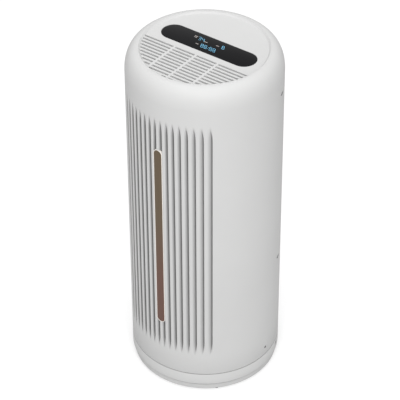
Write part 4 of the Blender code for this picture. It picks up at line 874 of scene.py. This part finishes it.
class PURIFIER_OT_display(bpy.types.Operator):
    """Tinted lens with its lit digits and small marks"""
    bl_idname = "purifier.display"
    bl_label = "Display"

    def digit(self, shape, figure, x, row, slant):
        """A seven-segment digit, centred at x in its row and leaning by the slant."""
        y, height = row
        stroke = 0.12 * DIGIT_WIDTH
        known = set(shape.verts)
        for letter in LIT[figure]:
            way, side, level = SEGMENTS[letter]
            half_w = (DIGIT_WIDTH - stroke) / 2
            half_h = (height - stroke) / 2
            long = half_w - 0.12 * MM if way == "across" else half_h / 2 - 0.12 * MM
            size = (long, stroke / 2) if way == "across" else (stroke / 2, long)
            cx, cy = x + side * half_w, y + level * half_h
            bar(shape, (cx - size[0], cy - size[1], PRINT_Z), (cx + size[0], cy + size[1], DIGIT_TOP_Z),
                stroke * 0.42, 2, 1)
        for vert in set(shape.verts) - known:
            vert.co.x += slant * (vert.co.y - y)

    def execute(self, context):
        settings = context.scene.purifier_display
        radius = (LENS_HIGH.y - LENS_LOW.y) / 2
        lens = bar(bmesh.new(), LENS_LOW, LENS_HIGH, radius * FULL_ROUND, 2, 28)
        soften(lens, 0.35 * MM, 3, keep=lambda e: all(v.co.z > FLAT_Z - 0.1 * MM for v in e.verts))
        glass = surface("tinted_lens", "moulded",
                        {"Colour": (0.008, 0.008, 0.009, 1), "Grain": 300.0, "Gloss": 0.07,
                         "Spread": 0.05, "Tone": 0.2}, bump=0.01, Specular_IOR_Level=0.12)
        finish_piece("lens", lens, glass, "body", ["display_lens"])
        digits = bmesh.new()
        slant = settings.slant
        for figure, x in (("3", -19.6), ("4", -14.0), ("8", 19.5)):
            self.digit(digits, figure, x * MM, UPPER_ROW, slant)
        for x in (-6.8, -1.2, 7.4, 13.0):
            self.digit(digits, "8", x * MM, LOWER_ROW, slant)
        for y in (1.7, 4.9):
            bar(digits, (2.7 * MM, (y - 0.4) * MM, PRINT_Z), (3.5 * MM, (y + 0.4) * MM, DIGIT_TOP_Z))
        finish_piece("digits", digits, self.lit("lit_digits", settings.digit_colour, 1.1), "body",
                     ["display_light_guide"])
        marks = bmesh.new()
        rows = [(-26.9, 18.2, 5), (-26.4, 15.6, 4), (-15.2, 3.4, 4), (-7.6, 13.6, 5), (11.0, 15.0, 4)]
        for x, y, count in rows:
            for i in range(count):
                left = (x + (i - count / 2) * 1.15) * MM
                tall = (0.75 if i % 2 else 0.55) * MM
                bar(marks, (left, y * MM - tall, PRINT_Z), (left + 0.75 * MM, y * MM + tall, MARK_TOP_Z),
                    0.2 * MM, 2, 2)
        finish_piece("marks", marks, self.lit("lit_marks", settings.mark_colour, 0.8), "body")
        return {"FINISHED"}

    def lit(self, name, colour, strength):
        """A moulded finish that also shines."""
        finish = surface(name, "moulded",
                         {"Colour": rgb(colour), "Grain": 800.0, "Cloud": 160.0, "Tone": 0.35,
                          "Gloss": 0.3}, bump=0.02)
        tree = finish.node_tree
        shader = tree.nodes["Principled BSDF"]
        worked = first_node(finish, "GROUP")
        tree.links.new(worked.outputs["Colour"], shader.inputs["Emission Color"])
        shader.inputs["Emission Strength"].default_value = strength
        return finish


class PURIFIER_OT_base(bpy.types.Operator):
    """Twist-off base, foot ring and rubber pads"""
    bl_idname = "purifier.base"
    bl_label = "Base"

    def execute(self, context):
        floor = BASE_Z + 3 * MM
        skirt = BODY_R - 3 * MM
        round_r = 1.8 * MM
        points = [(0.0, floor), (SPIGOT_BORE_R, floor), (SPIGOT_BORE_R, BASE_HIGH.z),
                  (SPIGOT_R, BASE_HIGH.z), (SPIGOT_R, floor),
                  (skirt, floor), (skirt, BASE_SEAM_Z), (BODY_R - EDGE, BASE_SEAM_Z),
                  (BODY_R - 0.3 * EDGE, BASE_SEAM_Z - 0.3 * EDGE), (BODY_R, BASE_SEAM_Z - EDGE)]
        points += arc((BODY_R - round_r, BASE_Z + round_r), round_r, 0, -90, 8)
        points += [(0.0, BASE_Z)]
        shape = profile_spin(points, 200, closed=False)
        lugs = bmesh.new()
        lug_top = BASE_HIGH.z - 0.5 * MM
        for azimuth in LUG_AZIMUTHS:
            known = set(lugs.verts)
            bar(lugs, (-6 * MM, -SPIGOT_R - 4.1 * MM, lug_top - 3 * MM),
                (6 * MM, -SPIGOT_R + 1.2 * MM, lug_top), 0.8 * MM, 2, 4)
            bmesh.ops.rotate(lugs, cent=(0, 0, 0), matrix=Matrix.Rotation(math.radians(azimuth), 3, "Z"),
                             verts=[v for v in lugs.verts if v not in known])
        shape = carve(shape, lugs, "UNION")
        marks = bmesh.new()
        for azimuth in MARK_AZIMUTHS:
            known = set(marks.verts)
            bar(marks, (-MARK_WIDTH / 2, -BODY_R - 5 * MM, BASE_SEAM_Z - MARK_DROP - MARK_HEIGHT / 2),
                (MARK_WIDTH / 2, -BODY_R + MARK_DEPTH, BASE_SEAM_Z - MARK_DROP + MARK_HEIGHT / 2),
                1.8 * MM, 1, 6)
            bmesh.ops.rotate(marks, cent=(0, 0, 0), matrix=Matrix.Rotation(math.radians(azimuth), 3, "Z"),
                             verts=[v for v in marks.verts if v not in known])
        shape = carve(shape, marks)
        shells = context.scene.purifier_shell
        finish_piece("twist_base_cover", shape, base_plastic(shells.colour), "twist_base",
                     ["base_cover"])
        low, top = FOOT_LOW.z, FOOT_HIGH.z
        rim = FOOT_R - 9 * MM
        edge = 1.6 * MM
        step_r, step_z = FOOT_R - 4.1 * MM, BASE_Z - 1.8 * MM
        profile = [(step_r, step_z), (FOOT_R - 0.4 * MM, step_z), (FOOT_R, step_z - 0.4 * MM)]
        profile += arc((FOOT_R - edge, low + edge), edge, 0, -90, 8)
        profile += [(rim + 0.6 * MM, low), (rim, low + 0.6 * MM), (rim, top), (step_r, top)]
        foot = profile_spin(profile, 200)
        sockets = bmesh.new()
        pads = [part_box(f"foot_pad_{i}") for i in (1, 2, 3, 4)]
        for pad_low, pad_high in pads:
            centre = (pad_low + pad_high) / 2
            bmesh.ops.create_cone(sockets, cap_ends=True, segments=40, radius1=3.9 * MM, radius2=3.9 * MM,
                                  depth=8 * MM, matrix=Matrix.Translation((centre.x, centre.y, -0.7 * MM)))
        for i in (1, 2, 3):
            screw_low, screw_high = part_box(f"foot_screw_{i}")
            centre = (screw_low + screw_high) / 2
            bmesh.ops.create_cone(sockets, cap_ends=True, segments=32, radius1=2.9 * MM, radius2=2.9 * MM,
                                  depth=8 * MM, matrix=Matrix.Translation((centre.x, centre.y, -0.4 * MM)))
            bmesh.ops.create_cone(sockets, cap_ends=True, segments=24, radius1=1.5 * MM, radius2=1.5 * MM,
                                  depth=40 * MM, matrix=Matrix.Translation((centre.x, centre.y, 10 * MM)))
        foot = carve(foot, sockets)
        finish_piece("foot", foot, white(shells), "twist_base", ["foot_ring"])
        rubber = dark_plastic("rubber_pad", (0.045, 0.045, 0.045), 0.7)
        for i, (pad_low, pad_high) in enumerate(pads):
            centre = (pad_low + pad_high) / 2
            r, h = (pad_high.x - pad_low.x) / 2, pad_high.z
            pad = profile_spin([(0.0, h), (r, h), (r, 0.5 * MM), (r - 0.15 * MM, 0.15 * MM),
                                (r - 0.5 * MM, 0.0), (1.6 * MM, 0.0), (1.3 * MM, 0.4 * MM),
                                (0.0, 0.4 * MM)], 40, closed=False)
            bmesh.ops.translate(pad, vec=(centre.x, centre.y, 0.0), verts=pad.verts)
            finish_piece(f"pad_{i + 1}", pad, rubber, "twist_base", [f"foot_pad_{i + 1}"])
        return {"FINISHED"}


class PURIFIER_OT_screws(bpy.types.Operator):
    """Pan-head screws with a cross recess, at the back and under the foot"""
    bl_idname = "purifier.screws"
    bl_label = "Screws"

    def screw(self, head_r, head, shank_r, length):
        """A screw along +Z with its tip at the origin."""
        top = length + head
        crown = [(head_r * math.sin(math.radians(a)), top - 0.35 * head * (1 - math.cos(math.radians(a))))
                 for a in (0, 25, 45, 60)]
        crown += [(head_r * 0.97, top - 0.45 * head), (head_r, top - 0.7 * head), (head_r, length)]
        shank = [(shank_r, length)]
        turns = max(2, int((length - 2 * shank_r) / (0.9 * MM)))
        pitch = (length - 2 * shank_r) / turns
        for i in range(turns):
            z = length - i * pitch
            shank += [(shank_r, z - 0.15 * pitch), (shank_r * 0.8, z - 0.5 * pitch),
                      (shank_r, z - 0.85 * pitch)]
        points = crown + shank + [(shank_r * 0.8, 2 * shank_r), (0.0, 0.0)]
        shape = profile_spin(points, 28, closed=False)
        cross = bmesh.new()
        arm, thin = head_r * 0.62, head_r * 0.11
        bar(cross, (-arm, -thin, top - 0.75 * head), (arm, thin, top + 1 * MM))
        shape = carve(shape, cross)
        other = bmesh.new()
        bar(other, (-thin, -arm, top - 0.75 * head), (thin, arm, top + 1 * MM))
        return carve(shape, other)

    def execute(self, context):
        steel = metal("plated_steel", (0.62, 0.62, 0.63), (1, 1, 1), 0.25)
        for i in (1, 2, 3, 4):
            low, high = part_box(f"rear_screw_{i}")
            shape = self.screw((high.x - low.x) / 2, 2 * MM, 1.2 * MM, high.y - low.y - 2 * MM)
            place = Matrix.Translation(((low.x + high.x) / 2, low.y, (low.z + high.z) / 2))
            place = place @ Matrix.Rotation(math.radians(-90), 4, "X")
            bmesh.ops.transform(shape, matrix=place, verts=shape.verts)
            finish_piece(f"back_screw_{i}", shape, steel, "body", [f"rear_screw_{i}"])
        for i in (1, 2, 3):
            low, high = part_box(f"foot_screw_{i}")
            shape = self.screw((high.x - low.x) / 2, 1.6 * MM, 1.2 * MM, high.z - low.z - 1.6 * MM)
            place = Matrix.Translation(((low.x + high.x) / 2, (low.y + high.y) / 2, high.z))
            place = place @ Matrix.Rotation(math.radians(180), 4, "X")
            bmesh.ops.transform(shape, matrix=place, verts=shape.verts)
            finish_piece(f"base_screw_{i}", shape, steel, "twist_base", [f"foot_screw_{i}"])
        return {"FINISHED"}


class PURIFIER_OT_inlet(bpy.types.Operator):
    """Two-pin mains inlet at the foot of the back"""
    bl_idname = "purifier.inlet"
    bl_label = "Mains inlet"

    def execute(self, context):
        middle_z = (SOCKET_LOW.z + SOCKET_HIGH.z) / 2
        body = bar(bmesh.new(), SOCKET_LOW, SOCKET_HIGH, 2 * MM, 1, 6)
        cavity = bar(bmesh.new(), (-9 * MM, SOCKET_LOW.y + 3 * MM, middle_z - 5 * MM),
                     (9 * MM, SOCKET_HIGH.y + 5 * MM, middle_z + 5 * MM), 4.995 * MM, 1, 16)
        body = carve(body, cavity)
        soften(body, 0.4 * MM, 3, keep=lambda e: all(v.co.y > SOCKET_HIGH.y - 0.1 * MM for v in e.verts))
        finish_piece("inlet", body, dark_plastic("black_moulding", (0.028, 0.028, 0.028), 0.4), "body",
                     ["mains_inlet"])
        nickel = metal("nickel_pin", (0.70, 0.68, 0.62), (1, 0.05, 1), 0.2)
        for name, x in (("pin_left", -4.3 * MM), ("pin_right", 4.3 * MM)):
            r, length = 1.2 * MM, 10 * MM
            pin = profile_spin([(0.0, length), (r * 0.5, length - 0.1 * MM), (r * 0.85, length - 0.4 * MM),
                                (r, length - 0.9 * MM), (r, 0.0), (0.0, 0.0)], 28, closed=False)
            place = Matrix.Translation((x, SOCKET_LOW.y + 2.6 * MM, middle_z))
            place = place @ Matrix.Rotation(math.radians(-90), 4, "X")
            bmesh.ops.transform(pin, matrix=place, verts=pin.verts)
            finish_piece(name, pin, nickel, "body")
        return {"FINISHED"}


class PURIFIER_OT_inside(bpy.types.Operator):
    """Materials of the pieces inside the shells"""
    bl_idname = "purifier.inside"
    bl_label = "Inside pieces"

    def execute(self, context):
        grey = dark_plastic("grey_moulding", (0.22, 0.22, 0.23), 0.42)
        pale = dark_plastic("pale_grey_moulding", (0.38, 0.38, 0.38), 0.5)
        black = dark_plastic("inner_black_moulding", (0.03, 0.03, 0.03), 0.45)
        rubber = dark_plastic("seal_foam", (0.05, 0.05, 0.05), 0.75)
        steel = metal("turned_steel", (0.6, 0.6, 0.61), (1, 1, 1), 0.25)
        copper = surface("wound_copper", "brushed",
                         {"Colour": (0.62, 0.28, 0.12, 1), "Stretch": (0.3, 0.3, 1), "Lines": 2500.0,
                          "Tone": 0.4}, bump=0.4, Metallic=1.0)
        board = surface("solder_mask", "granule",
                        {"Colour": (0.012, 0.09, 0.035, 1), "Dust": (0.02, 0.17, 0.07, 1),
                         "Size": 420.0}, bump=0.2, Roughness=0.35)
        paper = surface("pleated_paper", "moulded",
                        {"Colour": (0.78, 0.78, 0.74, 1), "Grain": 900.0, "Tone": 0.1, "Gloss": 0.8},
                        bump=0.4)
        carbon = surface("carbon_granules", "granule", {"Colour": (0.012, 0.012, 0.012, 1),
                                                        "Dust": (0.05, 0.05, 0.052, 1), "Size": 600.0},
                         bump=0.8, bump_distance=0.0006, Roughness=0.7)
        weave = surface("woven_prefilter", "woven",
                        {"Thread": (0.16, 0.16, 0.17, 1), "Hole": (0.015, 0.015, 0.016, 1),
                         "Pitch": 700.0}, bump=0.6, bump_distance=0.0004, Roughness=0.6)
        finishes = {
            "chassis": grey, "inlet_plate": grey, "impeller": grey, "motor_mount": grey, "fan_housing": grey,
            "outlet_duct": pale, "power_box": grey, "display_carrier": grey, "filter_top_cap": black,
            "filter_bottom_cap": black, "fan_guard": black, "air_sensor": black, "filter_seal": rubber,
            "filter_media": paper, "carbon_sleeve": carbon, "prefilter_sleeve": weave, "display_board": board,
            "power_board": board, "motor_stator": copper, "motor_rotor": steel, "motor_shaft": steel,
            "bearing_lower": steel, "bearing_upper": steel, "mount_screw_1": steel, "mount_screw_2": steel,
            "mount_screw_3": steel,
        }
        for name, finish in finishes.items():
            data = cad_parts[name].data
            data.materials.clear()
            data.materials.append(finish)
        return {"FINISHED"}


class PURIFIER_OT_stage(bpy.types.Operator):
    """Floor, soft lights and camera"""
    bl_idname = "purifier.stage"
    bl_label = "Stage"

    def light(self, name, place, size, power):
        """A square soft light that faces the middle of the tower."""
        lamp = bpy.data.lights.new(name, "AREA")
        lamp.shape = "SQUARE"
        lamp.size = size
        lamp.energy = power
        thing = bpy.data.objects.new(name, lamp)
        bpy.context.scene.collection.objects.link(thing)
        thing.location = place
        thing.rotation_euler = (Vector(LIGHT_AIM) - Vector(place)).to_track_quat("-Z", "Y").to_euler()

    def execute(self, context):
        settings = context.scene.purifier_stage
        scene = context.scene
        plane = bmesh.new()
        bmesh.ops.create_grid(plane, x_segments=8, y_segments=8, size=6.0)
        floor = as_object("floor", plane)
        pale = surface("pale_floor", "moulded", {
            "Colour": rgb(settings.floor_colour), "Grain": 60.0, "Cloud": 1.5, "Tone": 0.005, "Gloss": 0.8},
            bump=0.01, Specular_IOR_Level=0.1, Emission_Color=(1, 1, 1, 1))
        seen = node(pale.node_tree, "ShaderNodeLightPath")
        lift = node(pale.node_tree, "ShaderNodeMath",
                    {0: seen.outputs["Is Camera Ray"], 1: settings.floor_lift}, operation="MULTIPLY")
        pale.node_tree.links.new(lift.outputs[0],
                                 pale.node_tree.nodes["Principled BSDF"].inputs["Emission Strength"])
        floor.data.materials.append(pale)
        world = bpy.data.worlds.new("soft_sky")
        world.use_nodes = True
        sky = world.node_tree.nodes["Background"]
        sky.inputs["Color"].default_value = (1.0, 1.0, 1.0, 1.0)
        seen = node(world.node_tree, "ShaderNodeLightPath")
        strength = remap(world.node_tree, seen.outputs["Is Camera Ray"], 0.0, 1.0, settings.sky, 1.0)
        world.node_tree.links.new(strength, sky.inputs["Strength"])
        scene.world = world
        scene.view_settings.view_transform = "Standard"
        self.light("key_light", KEY_PLACE, KEY_SIZE, settings.key)
        self.light("overhead_light", OVERHEAD_PLACE, OVERHEAD_SIZE, settings.overhead)
        lens = bpy.data.cameras.new("camera")
        lens.lens = FOCAL_LENGTH
        lens.sensor_width = SENSOR_WIDTH
        camera = bpy.data.objects.new("camera", lens)
        scene.collection.objects.link(camera)
        heading = Matrix.Rotation(CAMERA_HEADING, 4, "Z")
        dip = Matrix.Rotation(math.pi / 2 - CAMERA_DIP, 4, "X")
        roll = Matrix.Rotation(CAMERA_ROLL, 4, "Z")
        camera.matrix_world = Matrix.Translation(CAMERA_PLACE) @ heading @ dip @ roll
        scene.camera = camera
        return {"FINISHED"}


OPERATORS = (
    PURIFIER_OT_stage, PURIFIER_OT_front_shell, PURIFIER_OT_rear_shell, PURIFIER_OT_strip,
    PURIFIER_OT_top_panel, PURIFIER_OT_display, PURIFIER_OT_base, PURIFIER_OT_screws,
    PURIFIER_OT_inlet, PURIFIER_OT_inside,
)


class PURIFIER_PT_panel(bpy.types.Panel):
    """Lists the settings and the operator of each piece"""
    bl_idname = "PURIFIER_PT_panel"
    bl_label = "Tower air purifier"
    bl_space_type = "VIEW_3D"
    bl_region_type = "UI"
    bl_category = "Purifier"

    def draw(self, context):
        layout = self.layout
        for name in SETTINGS:
            group_settings = getattr(context.scene, name)
            box = layout.box()
            for key in group_settings.bl_rna.properties.keys():
                if key not in {"rna_type", "name"}:
                    box.prop(group_settings, key)
        for operator in OPERATORS:
            layout.operator(operator.bl_idname)


SETTINGS = {
    "purifier_shell": ShellSettings, "purifier_strip": StripSettings, "purifier_panel": PanelSettings,
    "purifier_display": DisplaySettings, "purifier_stage": StageSettings,
}


def register():
    for name, kind in SETTINGS.items():
        bpy.utils.register_class(kind)
        setattr(bpy.types.Scene, name, PointerProperty(type=kind))
    for operator in OPERATORS:
        bpy.utils.register_class(operator)
    bpy.utils.register_class(PURIFIER_PT_panel)


def unregister():
    bpy.utils.unregister_class(PURIFIER_PT_panel)
    for operator in reversed(OPERATORS):
        bpy.utils.unregister_class(operator)
    for name, kind in SETTINGS.items():
        delattr(bpy.types.Scene, name)
        bpy.utils.unregister_class(kind)


def main():
    register()
    for operator in OPERATORS:
        getattr(bpy.ops.purifier, operator.bl_idname.split(".")[1])()


if __name__ == "__main__":
    main()
